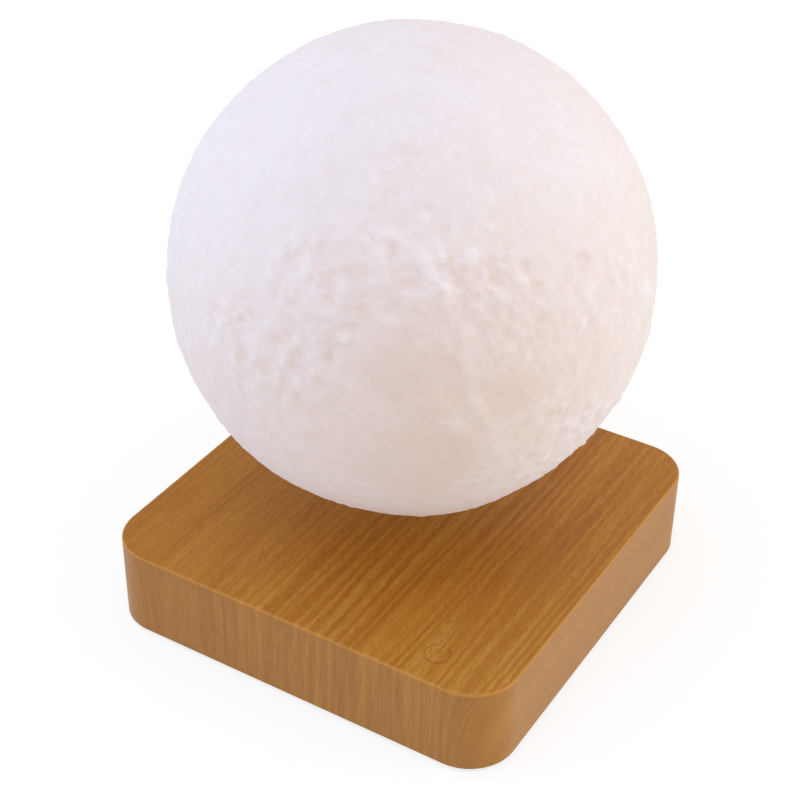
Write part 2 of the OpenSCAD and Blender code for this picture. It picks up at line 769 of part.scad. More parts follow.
module inlet_pin() color("silver") translate([0, inlet_y, inlet_z]) rotate([quarter, 0, 0]) {
    translate([0, 0, inlet_pin_short])
        cylinder(d = inlet_pin_d, h = inlet_depth - inlet_pin_short);
    translate([0, 0, inlet_depth - eps])
        cylinder(d = inlet_stem_d, h = inlet_back_t + inlet_stem_end);
}

// The leaf that presses on the plug's barrel, in its slot under the bore
module inlet_contact() color("silver") {
    leaf_l = contact_slot_l - 2 * contact_play;
    bump_y = leaf_l * 0.7;
    translate([-contact_w / 2, inlet_y - inlet_depth + contact_play,
            contact_slot_floor_z + contact_play]) {
        cube([contact_w, leaf_l, contact_t]);
        intersection() {
            translate([0, bump_y, contact_t]) rotate([0, quarter, 0])
                cylinder(r = contact_bump_r, h = contact_w);
            translate([0, bump_y - contact_bump_r, 0]) cube([contact_w, 2 * contact_bump_r, 1]);
        }
    }
}

// ---------- moon ----------

module crater_cutter(i) {
    r = crater_r(i);
    bowl = crater_bowl(i);
    cut_r = (r * r + bowl * bowl) / (2 * bowl);
    rotate([0, 0, i * golden_angle]) rotate([0, quarter - asin(crater_up(i)), 0])
        translate([0, 0, moon_r - crater_d(i) + cut_r]) sphere(r = cut_r);
}

// Room for the heads of the cap screws, up from the globe's lowest point
module cap_screw_head_room() {
    for (a = thirds) rotate([0, 0, a]) translate([cap_screw_r, 0, moon_bottom_z])
        cylinder(r = moon_screw_d * screw_head_ratio / 2 + hole_play,
            h = cap_top_z - cap_screw_floor - moon_bottom_z);
}

module moon_globe() color("ivory") translate([0, 0, moon_centre_z]) {
    lip_z = cap_top_z - moon_centre_z;
    difference() {
        sphere(r = moon_r);
        difference() {
            sphere(r = moon_r - moon_wall);
            translate([0, 0, lip_z]) tube(moon_r, lip_in_r, lip_t);
        }
        translate([0, 0, -moon_r - cut_margin])
            cylinder(r = cap_r + cap_gap, h = lip_z + moon_r + cut_margin);
        translate([0, 0, -moon_centre_z]) cap_screw_head_room();
        for (a = thirds) rotate([0, 0, a]) translate([cap_screw_r, 0, lip_z - eps])
            cylinder(r = moon_screw_d / 2 + thread_play, h = lip_t + 2 * eps);
        for (i = [0:crater_count - 1]) if (crater_fits(i)) crater_cutter(i);
    }
}

module moon_cap() color("whitesmoke") {
    difference() {
        intersection() {
            translate([0, 0, moon_centre_z]) sphere(r = moon_r);
            translate([0, 0, moon_bottom_z - cut_margin])
                cylinder(r = cap_r, h = cap_top_z - moon_bottom_z + cut_margin);
        }
        translate([0, 0, shelf_z]) cylinder(r = shelf_r, h = cap_top_z);
        translate([0, 0, pocket_z]) cylinder(r = pocket_r, h = cap_top_z);
        for (a = thirds) rotate([0, 0, a]) translate([cap_screw_r, 0, moon_bottom_z])
            cylinder(r = moon_screw_d / 2 + hole_play, h = cap_top_z);
        cap_screw_head_room();
    }
    translate([0, 0, shelf_z - eps])
        tube(pocket_r + pocket_wall, pocket_r, float_magnet_z + float_magnet_t - shelf_z + eps);
    for (a = thirds) rotate([0, 0, a + 60]) difference() {
        translate([post_circle_r, 0, shelf_z - eps])
            cylinder(r = post_r, h = carrier_z - shelf_z + eps);
        translate([0, 0, shelf_z - cut_margin]) cylinder(r = pocket_r, h = carrier_z);
        translate([post_circle_r, 0, carrier_z - post_grip - screw_tip_play])
            cylinder(r = moon_screw_d / 2 + thread_play, h = carrier_z);
    }
}

module cap_screws() color("silver")
    for (a = thirds) rotate([0, 0, a]) translate([cap_screw_r, 0, cap_top_z - cap_screw_floor])
        pan_screw(moon_screw_d, cap_screw_l, moon_head_h);

module float_magnet() color("silver")
    translate([0, 0, float_magnet_z]) cylinder(d = float_magnet_d, h = float_magnet_t);

module receiver_coil() color("chocolate")
    translate([0, 0, shelf_z]) tube(rx_coil_out_d / 2, rx_coil_in_d / 2, rx_coil_t);

module receiver_leads() color("chocolate")
    for (a = [-rx_lead_angle, rx_lead_angle]) rotate([0, 0, a])
        translate([rx_lead_circle_r, 0, shelf_z + rx_coil_t])
            cylinder(r = lead_r, h = led_board_z - shelf_z - rx_coil_t);

module led_carrier() color("whitesmoke") {
    difference() {
        union() {
            translate([0, 0, carrier_z]) cylinder(r = carrier_r, h = carrier_t);
            for (a = thirds) rotate([0, 0, a + 60]) translate([post_circle_r, 0, spacer_z - eps])
                cylinder(r = post_r, h = spacer_h + eps);
        }
        for (a = thirds) rotate([0, 0, a + 60]) translate([post_circle_r, 0, carrier_z - eps])
            cylinder(r = moon_screw_d / 2 + hole_play, h = carrier_t + spacer_h + 2 * eps);
    }
}

module led_board() color("white") translate([0, 0, led_board_z]) difference() {
    cylinder(d = led_board_d, h = led_board_t);
    for (a = thirds) rotate([0, 0, a + 60]) translate([post_circle_r, 0, -eps])
        cylinder(r = moon_screw_d / 2 + hole_play, h = led_board_t + 2 * eps);
}

module led_screws() color("silver")
    for (a = thirds) rotate([0, 0, a + 60]) translate([post_circle_r, 0, led_top_z])
        mirror([0, 0, 1]) pan_screw(moon_screw_d, led_screw_l, moon_head_h);

module led_ring(count, r) {
    for (k = [0:count - 1]) rotate([0, 0, (k + 0.5) * 360 / count]) translate([r, 0, 0]) {
        translate([-led_w / 2, -led_l / 2, 0]) cube([led_w, led_l, led_h]);
        translate([0, 0, led_h - eps]) cylinder(r = led_lens_r, h = led_lens_h + eps);
    }
}

module led_chips() color("lightyellow") translate([0, 0, led_top_z]) {
    led_ring(led_outer_count, led_outer_r);
    led_ring(led_inner_count, led_inner_r);
}

// A chip hanging from the height z = 0, with its middle at x
module hanging_chip(size, x) {
    translate([x - size[0] / 2, -size[1] / 2, -size[2]]) cube(size);
}

// The rectifier and its smoothing capacitors, under the LED board
module rectifier_chips() color("black") translate([0, 0, led_board_z]) {
    hanging_chip(rectifier_size, 0);
    for (s = [-1, 1]) hanging_chip(smoothing_size, s * smoothing_x);
}

base_housing();
bottom_cover();
rubber_feet();
cover_screws();
main_board();
magnet_tray();
tray_screws();
ring_magnet();
ferrite_shield();
transmitter_coil();
transmitter_leads();
coil_bobbins();
coil_windings();
coil_cores();
core_screws();
bobbin_pins();
sensor_board();
sensor_pins();
hall_sensors();
inlet_body();
inlet_pin();
inlet_contact();
touch_spring();
power_capacitors();
tuning_capacitors();
driver_chips();
control_chip();
power_inductor();
float_magnet();
moon_globe();
moon_cap();
cap_screws();
receiver_coil();
receiver_leads();
led_carrier();
led_board();
led_screws();
led_chips();
rectifier_chips();
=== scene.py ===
"""Levitating moon lamp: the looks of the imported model, its lights and its camera."""

import json
import math

import bmesh
import bpy
import numpy as np
from mathutils import Matrix, Vector, noise

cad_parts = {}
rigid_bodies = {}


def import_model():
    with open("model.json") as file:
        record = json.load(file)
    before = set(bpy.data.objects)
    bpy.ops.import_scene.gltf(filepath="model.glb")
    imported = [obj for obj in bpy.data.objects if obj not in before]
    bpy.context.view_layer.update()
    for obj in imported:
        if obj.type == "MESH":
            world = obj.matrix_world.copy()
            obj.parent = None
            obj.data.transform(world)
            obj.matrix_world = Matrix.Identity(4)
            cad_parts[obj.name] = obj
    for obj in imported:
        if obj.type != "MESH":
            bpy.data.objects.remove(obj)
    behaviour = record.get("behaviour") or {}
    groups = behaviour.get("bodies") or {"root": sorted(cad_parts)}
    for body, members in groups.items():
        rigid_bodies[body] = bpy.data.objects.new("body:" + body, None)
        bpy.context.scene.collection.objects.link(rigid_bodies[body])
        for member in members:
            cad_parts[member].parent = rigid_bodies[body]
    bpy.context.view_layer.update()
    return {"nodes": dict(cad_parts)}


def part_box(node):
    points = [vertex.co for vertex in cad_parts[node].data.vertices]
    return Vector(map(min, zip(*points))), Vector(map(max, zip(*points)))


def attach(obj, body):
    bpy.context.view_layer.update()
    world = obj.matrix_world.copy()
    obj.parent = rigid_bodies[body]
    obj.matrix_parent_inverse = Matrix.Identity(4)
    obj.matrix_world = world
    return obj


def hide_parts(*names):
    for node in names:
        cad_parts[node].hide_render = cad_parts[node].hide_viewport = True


for leftover in list(bpy.data.objects):
    bpy.data.objects.remove(leftover)
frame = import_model()

MM = 0.001

# ---------- sizes, in metres, taken from the frame where it has them ----------

GLOBE_R = 75 * MM
WALL = 1.6 * MM
BASE_TOP_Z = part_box("base_housing")[1].z
BASE_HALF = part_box("base_housing")[1].x
MOON_CENTRE = Vector((0, 0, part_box("moon_globe")[1].z - GLOBE_R))
CAP_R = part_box("moon_cap")[1].x
CAP_TOP_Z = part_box("moon_cap")[1].z
CAP_GAP = 0.2 * MM
HOLE_R = CAP_R + CAP_GAP
LIP_IN_R = 31.4 * MM
LIP_T = 3 * MM
SCREW_CIRCLE_R = 34.45 * MM
SCREW_HOLE_R = 1.05 * MM
THIRDS = (0, 120, 240)
TX_COIL_IN_R = 34 * MM
RX_COIL_IN_R = 25 * MM
BOBBIN_R = 12 * MM
BOBBIN_CIRCLE_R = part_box("coil_bobbins")[1].x - BOBBIN_R
HUB_R = 5.2 * MM
WINDING_WIRE_R = 0.3 * MM
CHIP_PITCH = 9.5 * MM
SHARP_ANGLE = math.radians(50)


# ---------- camera, lights and floor ----------

# The photograph's view, fitted to the outlines of the base and the globe
VIEW_AZIMUTH = 31.05
VIEW_ELEVATION = 34.47
VIEW_ROLL = 0.8
VIEW_DISTANCE = 588.1 * MM
VIEW_TARGET = Vector((-12.29, 14.19, 59.5)) * MM
LENS_MM = 78.72
SENSOR_MM = 36

FLOOR_SIZE = 6.0
FLOOR_GREY = 0.86
FLOOR_ROUGHNESS = 0.9
FLOOR_SPECULAR = 0.2
# The floor's share of white glow: FLOOR_LIFT up to FLOOR_NEAR metres from the lamp, 1 from FLOOR_FAR on
FLOOR_LIFT = 0.7
FLOOR_NEAR = 0.3
FLOOR_FAR = 0.8
FLOOR_GLOW = 1.12
DOME_STRENGTH = 0.68
DOME_COLOUR = (1.0, 0.69, 0.43)
SOFTBOX_DISTANCE = 1.3
SOFTBOX_SIZE = 0.9
# Name, azimuth and elevation in degrees, watts and colour
SOFTBOXES = (
    ("left_softbox", -60, 15, 6.1, (0.43, 0.69, 1.0)),
    ("right_softbox", 113, 15, 6.6, (0.78, 0.92, 1.0)),
    ("upper_softbox", 0, 75, 9.8, (0.36, 0.63, 1.0)),
)


def towards(azimuth, elevation):
    """The direction from the object to a viewer there: azimuth 0 is the front (-Y), 90 the right (+X)."""
    a, e = math.radians(azimuth), math.radians(elevation)
    return Vector((math.sin(a) * math.cos(e), -math.cos(a) * math.cos(e), math.sin(e)))


def new_object(name, data):
    made = bpy.data.objects.new(name, data)
    bpy.context.scene.collection.objects.link(made)
    return made


def add_camera():
    back = towards(VIEW_AZIMUTH, VIEW_ELEVATION)
    right = Vector((0, 0, 1)).cross(back).normalized()
    up = back.cross(right)
    roll = math.radians(VIEW_ROLL)
    rolled_right = right * math.cos(roll) + up * math.sin(roll)
    rolled_up = up * math.cos(roll) - right * math.sin(roll)
    camera = new_object("camera", bpy.data.cameras.new("camera"))
    camera.data.sensor_width = SENSOR_MM
    camera.data.lens = LENS_MM
    place = VIEW_TARGET + back * VIEW_DISTANCE
    axes = Matrix((rolled_right, rolled_up, back)).transposed()
    camera.matrix_world = Matrix.Translation(place) @ axes.to_4x4()
    bpy.context.scene.camera = camera


def add_softbox(name, azimuth, elevation, watts, colour):
    lamp = bpy.data.lights.new(name, "AREA")
    lamp.shape = "SQUARE"
    lamp.size = SOFTBOX_SIZE
    lamp.energy = watts
    lamp.color = colour
    box = new_object(name, lamp)
    aim = towards(azimuth, elevation)
    box.location = MOON_CENTRE + aim * SOFTBOX_DISTANCE
    box.rotation_euler = aim.to_track_quat("Z", "Y").to_euler()


def seen_directly(tree):
    """1 for rays from the camera and for those that gloss or glass sends on, 0 for the light itself."""
    path = tree.nodes.new("ShaderNodeLightPath")
    total = path.outputs["Is Camera Ray"]
    for ray in ("Is Glossy Ray", "Is Transmission Ray"):
        add = tree.nodes.new("ShaderNodeMath")
        add.operation = "ADD"
        add.use_clamp = True
        tree.links.new(total, add.inputs[0])
        tree.links.new(path.outputs[ray], add.inputs[1])
        total = add.outputs[0]
    return total


def mix_shaders(tree, share, under, over, output):
    """Two shaders mixed into an output, the second at the given share."""
    mix = tree.nodes.new("ShaderNodeMixShader")
    for source, socket in zip((share, under.outputs[0], over.outputs[0]), mix.inputs):
        tree.links.new(source, socket)
    tree.links.new(mix.outputs[0], tree.nodes[output].inputs["Surface"])


def add_world():
    world = bpy.data.worlds.new("studio")
    world.use_nodes = True
    tree = world.node_tree
    dome = tree.nodes["Background"]
    dome.inputs["Color"].default_value = (*DOME_COLOUR, 1)
    dome.inputs["Strength"].default_value = DOME_STRENGTH
    white = tree.nodes.new("ShaderNodeBackground")
    white.inputs["Color"].default_value = (1, 1, 1, 1)
    white.inputs["Strength"].default_value = 1
    mix_shaders(tree, seen_directly(tree), dome, white, "World Output")
    bpy.context.scene.world = world


def add_floor():
    """A pale floor that keeps a soft shadow and otherwise goes over into the white background."""
    mesh = bpy.data.meshes.new("floor")
    half = FLOOR_SIZE / 2
    mesh.from_pydata([(-half, -half, 0), (half, -half, 0), (half, half, 0), (-half, half, 0)], [],
                     [(0, 1, 2, 3)])
    floor = new_object("floor", mesh)
    paper = Material("floor_paper", (FLOOR_GREY,) * 3, Roughness=FLOOR_ROUGHNESS,
                     Specular_IOR_Level=FLOOR_SPECULAR)
    glow = paper.node("ShaderNodeEmission", (1, 1, 1), FLOOR_GLOW)
    spot = paper.node("ShaderNodeNewGeometry").outputs["Position"]
    reach = paper.node("ShaderNodeVectorMath", spot, operation="LENGTH").outputs["Value"]
    fade = paper.span(reach, FLOOR_NEAR, FLOOR_FAR, FLOOR_LIFT, 1.0, smooth=True)
    share = paper.times(seen_directly(paper.tree), fade)
    mix_shaders(paper.tree, share, paper.shader, glow, "Material Output")
    mesh.materials.append(paper.data)


def add_studio():
    bpy.context.scene.view_settings.view_transform = "Standard"
    add_world()
    add_floor()
    for softbox in SOFTBOXES:
        add_softbox(*softbox)


# ---------- building materials ----------

def shade(colour, factor):
    return tuple(min(1.0, part * factor) for part in colour)


class Material:
    """A material with one Principled shader, and short ways to add the nodes that feed it."""

    def __init__(self, name, colour=(0.5, 0.5, 0.5), **sockets):
        self.data = bpy.data.materials.new(name)
        self.data.use_nodes = True
        self.tree = self.data.node_tree
        self.shader = self.tree.nodes["Principled BSDF"]
        self.shader.inputs["Base Color"].default_value = (*colour, 1)
        for socket, value in sockets.items():
            self.shader.inputs[socket.replace("_", " ")].default_value = value

    def put(self, socket, value):
        """Sets an input to a number, a colour or another node's output."""
        if isinstance(value, bpy.types.NodeSocket):
            self.tree.links.new(value, socket)
        elif isinstance(value, tuple) and len(value) == 3 and socket.type == "RGBA":
            socket.default_value = (*value, 1)
        else:
            socket.default_value = value

    def feed(self, name, value):
        self.put(self.shader.inputs[name], value)

    def node(self, kind, *inputs, **settings):
        node = self.tree.nodes.new(kind)
        for key, value in settings.items():
            setattr(node, key, value)
        for socket, value in zip(node.inputs, inputs):
            self.put(socket, value)
        return node

    def math(self, operation, *values):
        return self.node("ShaderNodeMath", *values, operation=operation).outputs[0]

    def times(self, a, b):
        return self.math("MULTIPLY", a, b)

    def vector(self, x, y, z):
        return self.node("ShaderNodeCombineXYZ", x, y, z).outputs[0]

    def parts(self, vector):
        return self.node("ShaderNodeSeparateXYZ", vector).outputs

    def place(self):
        """The point on the piece, in metres, in the lamp's own frame."""
        return self.node("ShaderNodeTexCoord").outputs["Object"]

    def normal(self):
        return self.node("ShaderNodeTexCoord").outputs["Normal"]

    def noise(self, vector, size, detail=2.0, roughness=0.5):
        """Noise from about 0.25 to 0.75, with features about as wide as size."""
        node = self.node("ShaderNodeTexNoise", noise_dimensions="3D")
        self.put(node.inputs["Vector"], vector)
        self.put(node.inputs["Scale"], 1 / size)
        self.put(node.inputs["Detail"], detail)
        self.put(node.inputs["Roughness"], roughness)
        return node.outputs["Fac"]

    def stretched_noise(self, vector, sizes, detail=2.0, roughness=0.5):
        """Noise whose features have a size of their own along x, y and z."""
        parts = [self.times(part, 1 / size) for part, size in zip(self.parts(vector), sizes)]
        return self.noise(self.vector(*parts), 1.0, detail, roughness)

    def span(self, value, low, high, to_low=0.0, to_high=1.0, smooth=False):
        """Maps low..high to to_low..to_high, clamped."""
        node = self.node("ShaderNodeMapRange", value, low, high, to_low, to_high, clamp=True)
        if smooth:
            node.interpolation_type = "SMOOTHSTEP"
        return node.outputs["Result"]

    def blend(self, factor, a, b):
        node = self.node("ShaderNodeMix", data_type="RGBA", clamp_factor=True)
        for socket in node.inputs:
            if socket.name == "Factor" and socket.type == "VALUE":
                self.put(socket, factor)
        colours = [socket for socket in node.inputs if socket.type == "RGBA"]
        self.put(colours[0], a)
        self.put(colours[1], b)
        return [socket for socket in node.outputs if socket.type == "RGBA"][0]

    def lay(self, under, over, mask, share):
        """A colour with another over it where the mask shows, at the given share."""
        return self.blend(self.times(mask, share), under, over)

    def distance(self, x, y):
        return self.math("SQRT", self.math("ADD", self.math("POWER", x, 2.0), self.math("POWER", y, 2.0)))

    def bump(self, height, distance, strength=1.0):
        node = self.node("ShaderNodeBump")
        self.put(node.inputs["Height"], height)
        node.inputs["Distance"].default_value = distance
        node.inputs["Strength"].default_value = strength
        self.tree.links.new(node.outputs["Normal"], self.shader.inputs["Normal"])


# ---------- wood-grain film ----------

# Colours, then how strongly the lines, flecks, the walls' painted sheen and the painted highlight on the
# rounded top edge are laid over the wood
WOOD_LIGHT = (0.485, 0.218, 0.020)
WOOD_DARK = (0.375, 0.136, 0.004)
WOOD_PALE = (0.58, 0.33, 0.068)
WOOD_LINE = (0.30, 0.092, 0.004)
WOOD_THREAD = (0.31, 0.105, 0.018)
WOOD_WALL_SHEEN = (0.41, 0.23, 0.074)
WOOD_INSIDE = (0.16, 0.10, 0.055)
WOOD_EDGE_HIGHLIGHT = (0.78, 0.36, 0.07)
PALE_SHARE = 0.34
LINE_SHARE = 0.4
FLECK_SHARE = 0.45
WALL_SHEEN_SHARE = 0.32
EDGE_HIGHLIGHT_SHARE = 0.35
RING_PITCH = 4.2 * MM
EDGE_R = 1 * MM
CORNER_R = 16 * MM
SKIN = 1 * MM
WOOD_LEFT = -45 * MM
WOOD_RIGHT = 10 * MM
GRAIN_BEND = 9 * MM
GRAIN_SLANT = 0.15
RING_DRIFT = 2.4
RING_STEP = 0.4
GRAIN_DEPTH = 0.02 * MM

# Layers of grain noise: width across the grain and length along it in millimetres, seed, detail, roughness
GRAIN = {
    "bend": (38, 110, 3.1, 2.0, 0.5),
    "streak": (1.3, 55, 23.3, 2.0, 0.6),
    "fibre": (0.42, 7, 31.9, 2.0, 0.6),
    "cloud": (7.5, 120, 11.7, 1.5, 0.5),
    "ring_drift": (7, 150, 61.3, 1.0, 0.5),
    "ring_step": (1.0, 4.5, 17.7, 1.0, 0.5),
    "figure": (13, 80, 5.3, 1.0, 0.5),
    "hair": (1.3, 45, 71.9, 1.0, 0.5),
    "fleck": (0.5, 3.4, 47.3, 1.0, 0.5),
    "thread": (0.42, 16, 83.7, 1.0, 0.5),
}
SPECKLE = 0.45 * MM


def wood_film():
    """Wood grain that runs front to back over the top and on down the front and back walls."""
    m = Material("wood_shell", Roughness=0.42, Specular_IOR_Level=0.3)
    place = m.place()
    x, y, z = m.parts(place)
    nx, ny, nz = m.parts(m.normal())
    depth = m.math("MAXIMUM", m.math("SUBTRACT", BASE_TOP_Z, z), 0.0)
    across = m.math("MULTIPLY_ADD", nx, depth, x)
    along = m.math("MULTIPLY_ADD", ny, depth, y)

    def layer(name, start=None):
        """A layer of GRAIN, which counts its way across the grain from the given start."""
        width, length, seed, detail, roughness = GRAIN[name]
        first = across if start is None else start
        spot = m.vector(m.times(first, 1 / (width * MM)), m.times(along, 1 / (length * MM)), seed)
        return m.noise(spot, 1.0, detail, roughness)

    def shifted(start, noise_value, reach):
        return m.math("MULTIPLY_ADD", m.math("SUBTRACT", noise_value, 0.5), reach, start)

    bent = shifted(across, layer("bend"), GRAIN_BEND)
    slant = m.math("MULTIPLY_ADD", along, GRAIN_SLANT, bent)

    # How busy the film is: fine and quiet on the left, plain on the right wall
    busy = m.span(across, WOOD_LEFT, WOOD_RIGHT, 0.4, 1.0, smooth=True)
    busy = m.times(busy, m.span(nx, 0.05, 0.7, 1.0, 0.2))
    walls = m.span(nz, 0.8, 0.2)

    streaks = layer("streak", bent)
    fibres = layer("fibre", slant)
    speckle = m.noise(place, SPECKLE, 1.0)
    tone = m.times(layer("cloud"), 0.9)
    for part, weight in ((streaks, 0.5), (fibres, 0.9), (speckle, 0.7)):
        tone = m.math("MULTIPLY_ADD", part, weight, tone)
    colour = m.blend(m.span(tone, 1.2, 1.8), WOOD_DARK, WOOD_LIGHT)

    # Growth rings: pale wood between darker lines that step sideways in short dashes
    turns = m.times(bent, 1 / RING_PITCH)
    turns = shifted(turns, layer("ring_drift"), RING_DRIFT)
    turns = shifted(turns, layer("ring_step", slant), RING_STEP)
    wave = m.math("SINE", m.times(turns, 2 * math.pi))
    strength = m.times(m.span(layer("figure"), 0.35, 0.6, 0.3, 1.0), busy)
    pale = m.times(m.span(wave, 0.0, -0.9), strength)
    colour = m.lay(colour, WOOD_PALE, pale, PALE_SHARE)
    lines = m.times(m.span(wave, 0.25, 0.95), strength)
    colour = m.lay(colour, WOOD_LINE, lines, LINE_SHARE)

    # Long hairlines, short flecks, and on the front and back walls fine upright threads
    off_hair = m.math("ABSOLUTE", m.math("SUBTRACT", layer("hair", bent), 0.5))
    plain_wall = m.span(nx, 0.3, 0.9, 0.4, 0.22)
    colour = m.lay(colour, WOOD_LINE, m.span(off_hair, 0.0, 0.06, 1.0, 0.0), plain_wall)
    dashes = layer("fleck", slant)
    fleck_room = m.times(m.span(busy, 0.1, 0.5), m.span(walls, 0, 1, 1, 0.3))
    flecks = m.times(m.span(dashes, 0.55, 0.65), fleck_room)
    colour = m.lay(colour, WOOD_LINE, flecks, FLECK_SHARE)
    threads = m.span(layer("thread", bent), 0.5, 0.66)
    front = m.times(walls, m.span(nx, 0.2, 0.8, 0.8, 0.25))
    colour = m.lay(colour, WOOD_THREAD, threads, front)

    # Painted light: paler to the right and on the right wall, where more light falls; then the walls'
    # painted sheen, the top edge's painted highlight, and dull wood inside the housing
    colour = m.blend(m.span(across, -10 * MM, 70 * MM, 0.0, 0.12), colour, WOOD_PALE)
    # Painted sheen: the walls paler and greyer, standing in for the reflection of the bright room on them
    colour = m.lay(colour, WOOD_WALL_SHEEN, walls, WALL_SHEEN_SHARE)
    # Painted highlight: a lighter, more orange line along the rounded top edge, where light catches it
    painted_edge_highlight = m.times(m.span(depth, EDGE_R * 1.1, EDGE_R * 0.6), m.span(nz, 0.95, 0.6))
    colour = m.lay(colour, WOOD_EDGE_HIGHLIGHT, painted_edge_highlight, EDGE_HIGHLIGHT_SHARE)
    past = [m.math("MAXIMUM", m.math("SUBTRACT", m.math("ABSOLUTE", part), BASE_HALF - CORNER_R), 0.0)
            for part in (x, y)]
    off_walls = m.math("LESS_THAN", m.distance(*past), CORNER_R - SKIN)
    within = m.times(off_walls, m.math("GREATER_THAN", depth, SKIN))
    colour = m.blend(within, colour, m.blend(speckle, WOOD_INSIDE, shade(WOOD_INSIDE, 1.3)))
    m.feed("Base Color", colour)
    m.feed("Roughness", m.span(fibres, 0.3, 0.7, 0.5, 0.38))
    m.bump(fibres, GRAIN_DEPTH, 0.6)
    return m.data


# ---------- moon ----------

MOON_WHITE = (0.889, 0.857, 0.876)
# A peach tone laid on in random blotches and on the plains, and the colour of the painted shade in hollows
# and of the painted warm light
MOON_PEACH_AND_SHADE = (0.82, 0.69, 0.61)
MOON_PAINTED_HIGHLIGHT = (0.93, 0.92, 0.95)
STAIN = 22 * MM
DIP = 8 * MM
KNOB = 2.8 * MM
KNOB_CROWD = 14 * MM
PRINT_GRAIN = 0.75 * MM
PRINT_DEPTH = 0.16 * MM
LAYER_LINE = (16 * MM, 16 * MM, 0.3 * MM)
LAYER_SHARE = 0.25

SEGMENTS = 448
OUTER_ROWS = 162
INNER_ROWS = 20

# Rugged highlands: longitude, latitude and radius in degrees, and how rugged
HIGHLANDS = (
    (-97, 5, 15, 1.0), (-84, 12, 12, 0.95), (-91, 27, 11, 0.75), (-72, 22, 13, 1.1), (-79, 4, 10, 1.0),
    (-60, 32, 12, 1.0), (-46, 31, 12, 0.95), (-38, 22, 12, 0.8), (-25, 14, 14, 0.85), (-10, 16, 14, 0.85),
    (-42, 42, 15, 0.65), (-75, 42, 16, 0.65), (-105, 22, 12, 0.6), (-26, -2, 10, 0.75), (-15, -20, 15, 1.2),
    (-26, -28, 10, 1.1), (8, 2, 20, 1.0), (-84, -12, 16, 0.6), (-62, -30, 18, 0.45), (-112, -8, 14, 0.6),
    (12, -30, 20, 1.1), (60, 30, 28, 0.9), (110, -20, 34, 1.0), (150, 30, 28, 0.9), (180, -35, 25, 0.9),
    (-150, -18, 20, 0.8), (45, -35, 22, 1.0),
)
LOWLAND_ROUGHNESS = 0.5
# Shares of an entry's radius over which a highland fades in, going inward, and a plain fades out
HIGHLAND_EDGE = (1.35, 0.6)
PLAIN_EDGE = (0.75, 1.2)
WOBBLE = 5.0
# Smooth plains: longitude, latitude and radius in degrees
PLAINS = (
    (-56, 5, 11), (-65, 14, 7), (-58, -17, 13), (-38, 0, 7.5), (120, 15, 18), (70, -5, 14),
    (-165, 15, 16),
)
# Broad swellings and dips of the whole globe: longitude, latitude, spread in degrees, height in millimetres
SWELLS = (
    (-46, -50, 8, 0.85), (-104, -39, 9, 0.4), (1, -27, 13, -0.55), (22, 0, 10, -0.3), (-142, 3, 11, -0.45),
    (58, 50, 13, 0.35), (115, 60, 12, 0.3), (160, -5, 16, 0.4), (90, -35, 14, -0.4), (-57, 3, 11, -0.35),
    (-38, 0, 6, -0.3), (-101, 18, 3.2, 0.45),
)
# Single craters: longitude, latitude, radius and depth in millimetres
CRATERS = (
    (-99, 11.8, 2.2, 0.45), (-71.6, 17, 2.4, 0.3), (-76.5, 10, 2.6, 0.35),
    (-15.8, 25, 4.2, 0.55), (-33, 28.5, 3.4, 0.45), (-30, 23, 3.2, 0.4), (-30.5, -20, 2.4, 0.45),
    (-13, -38.5, 3.2, 0.9), (-1.5, -30, 3.4, 0.8), (7, -21.5, 2.6, 0.8), (10.5, -17, 2.4, 0.7),
    (14, -11.5, 3.6, 0.6), (-24, -8, 3.0, 0.45), (-88, 28, 4.4, 0.3), (-63, 54, 5.5, 0.25),
    (40, 30, 4.6, 0.5), (52, 12, 6.5, 0.6), (95, 40, 7.0, 0.6), (140, 5, 5.5, 0.5), (-160, -15, 6.0, 0.6),
)
# Painted warm light, as thrown up from the wood base: longitude, latitude and spread in degrees, and
# strength
PAINTED_WARM_LIGHT_PATCHES = ((-33, -12, 18, 0.3), (-38, 24, 17, 0.24))
# A mountain chain along the edge of the largest plain: longitude and latitude
RIDGE = (
    (-66, 37), (-61, 35), (-56, 31), (-52, 24), (-48.5, 15), (-47, 3), (-43, -5), (-40, -14), (-35, -22),
)
# Heights, depths, widths and radii of the relief, all in millimetres
RIDGE_WIDTH = 1.7
RIDGE_HEIGHT = 0.6
LUMP_HEIGHT = 0.38
WRINKLE_HEIGHT = 0.34
WARP_HEIGHT = 0.22
KNOB_R = (1.7, 3.0)
SMALL_CRATER_R = (1.6, 4.5)
SMALL_DEPTH = 0.12
RELIEF_EDGE = 5.0
# A crater's bowl and rim, for a depth and a radius of 1
BOWL_POWER = 1.2
RIM_HEIGHT = 0.32
RIM_R = 1.02
RIM_WIDTH = 0.2

SMALL_FORMS = 6500
SMALL_FORM_SEED = 20
SMALL_FORM_BIAS = 2.2
SMALL_SLOPE = 0.06
KNOB_SHARE = 0.8
KNOB_GAIN = 1.9
KNOB_TAPER = 1.5
SMALL_CRATER_GAIN = 0.6
FORM_REACH = 1.7
# Waves of each noise over the length of the globe's radius
WAVES = {"wobble": 6.0, "crowd": 6.0, "ridge": 13, "crest": 9, "knob": 21.0, "bend": 17.0, "lump": 19.0,
         "warp": 3.0}
# The middle of the wrinkles' rings, and the angles from it over which they rise and fade, in degrees
WRINKLE_POLE = (-61, -2)
WRINKLE_RISE = (16, 26)
WRINKLE_FADE = (62, 40)
WRINKLE_TURNS = 5.0
WRINKLE_WAVES = 22


def unit(lon, lat):
    """The direction of a longitude and a latitude given in degrees, as an array."""
    lon, lat = np.radians(lon), np.radians(lat)
    return np.stack([np.cos(lat) * np.cos(lon), np.cos(lat) * np.sin(lon), np.sin(lat)], axis=-1)


def smoothstep(value, low, high):
    t = np.clip((value - low) / (high - low), 0, 1)
    return t * t * (3 - 2 * t)


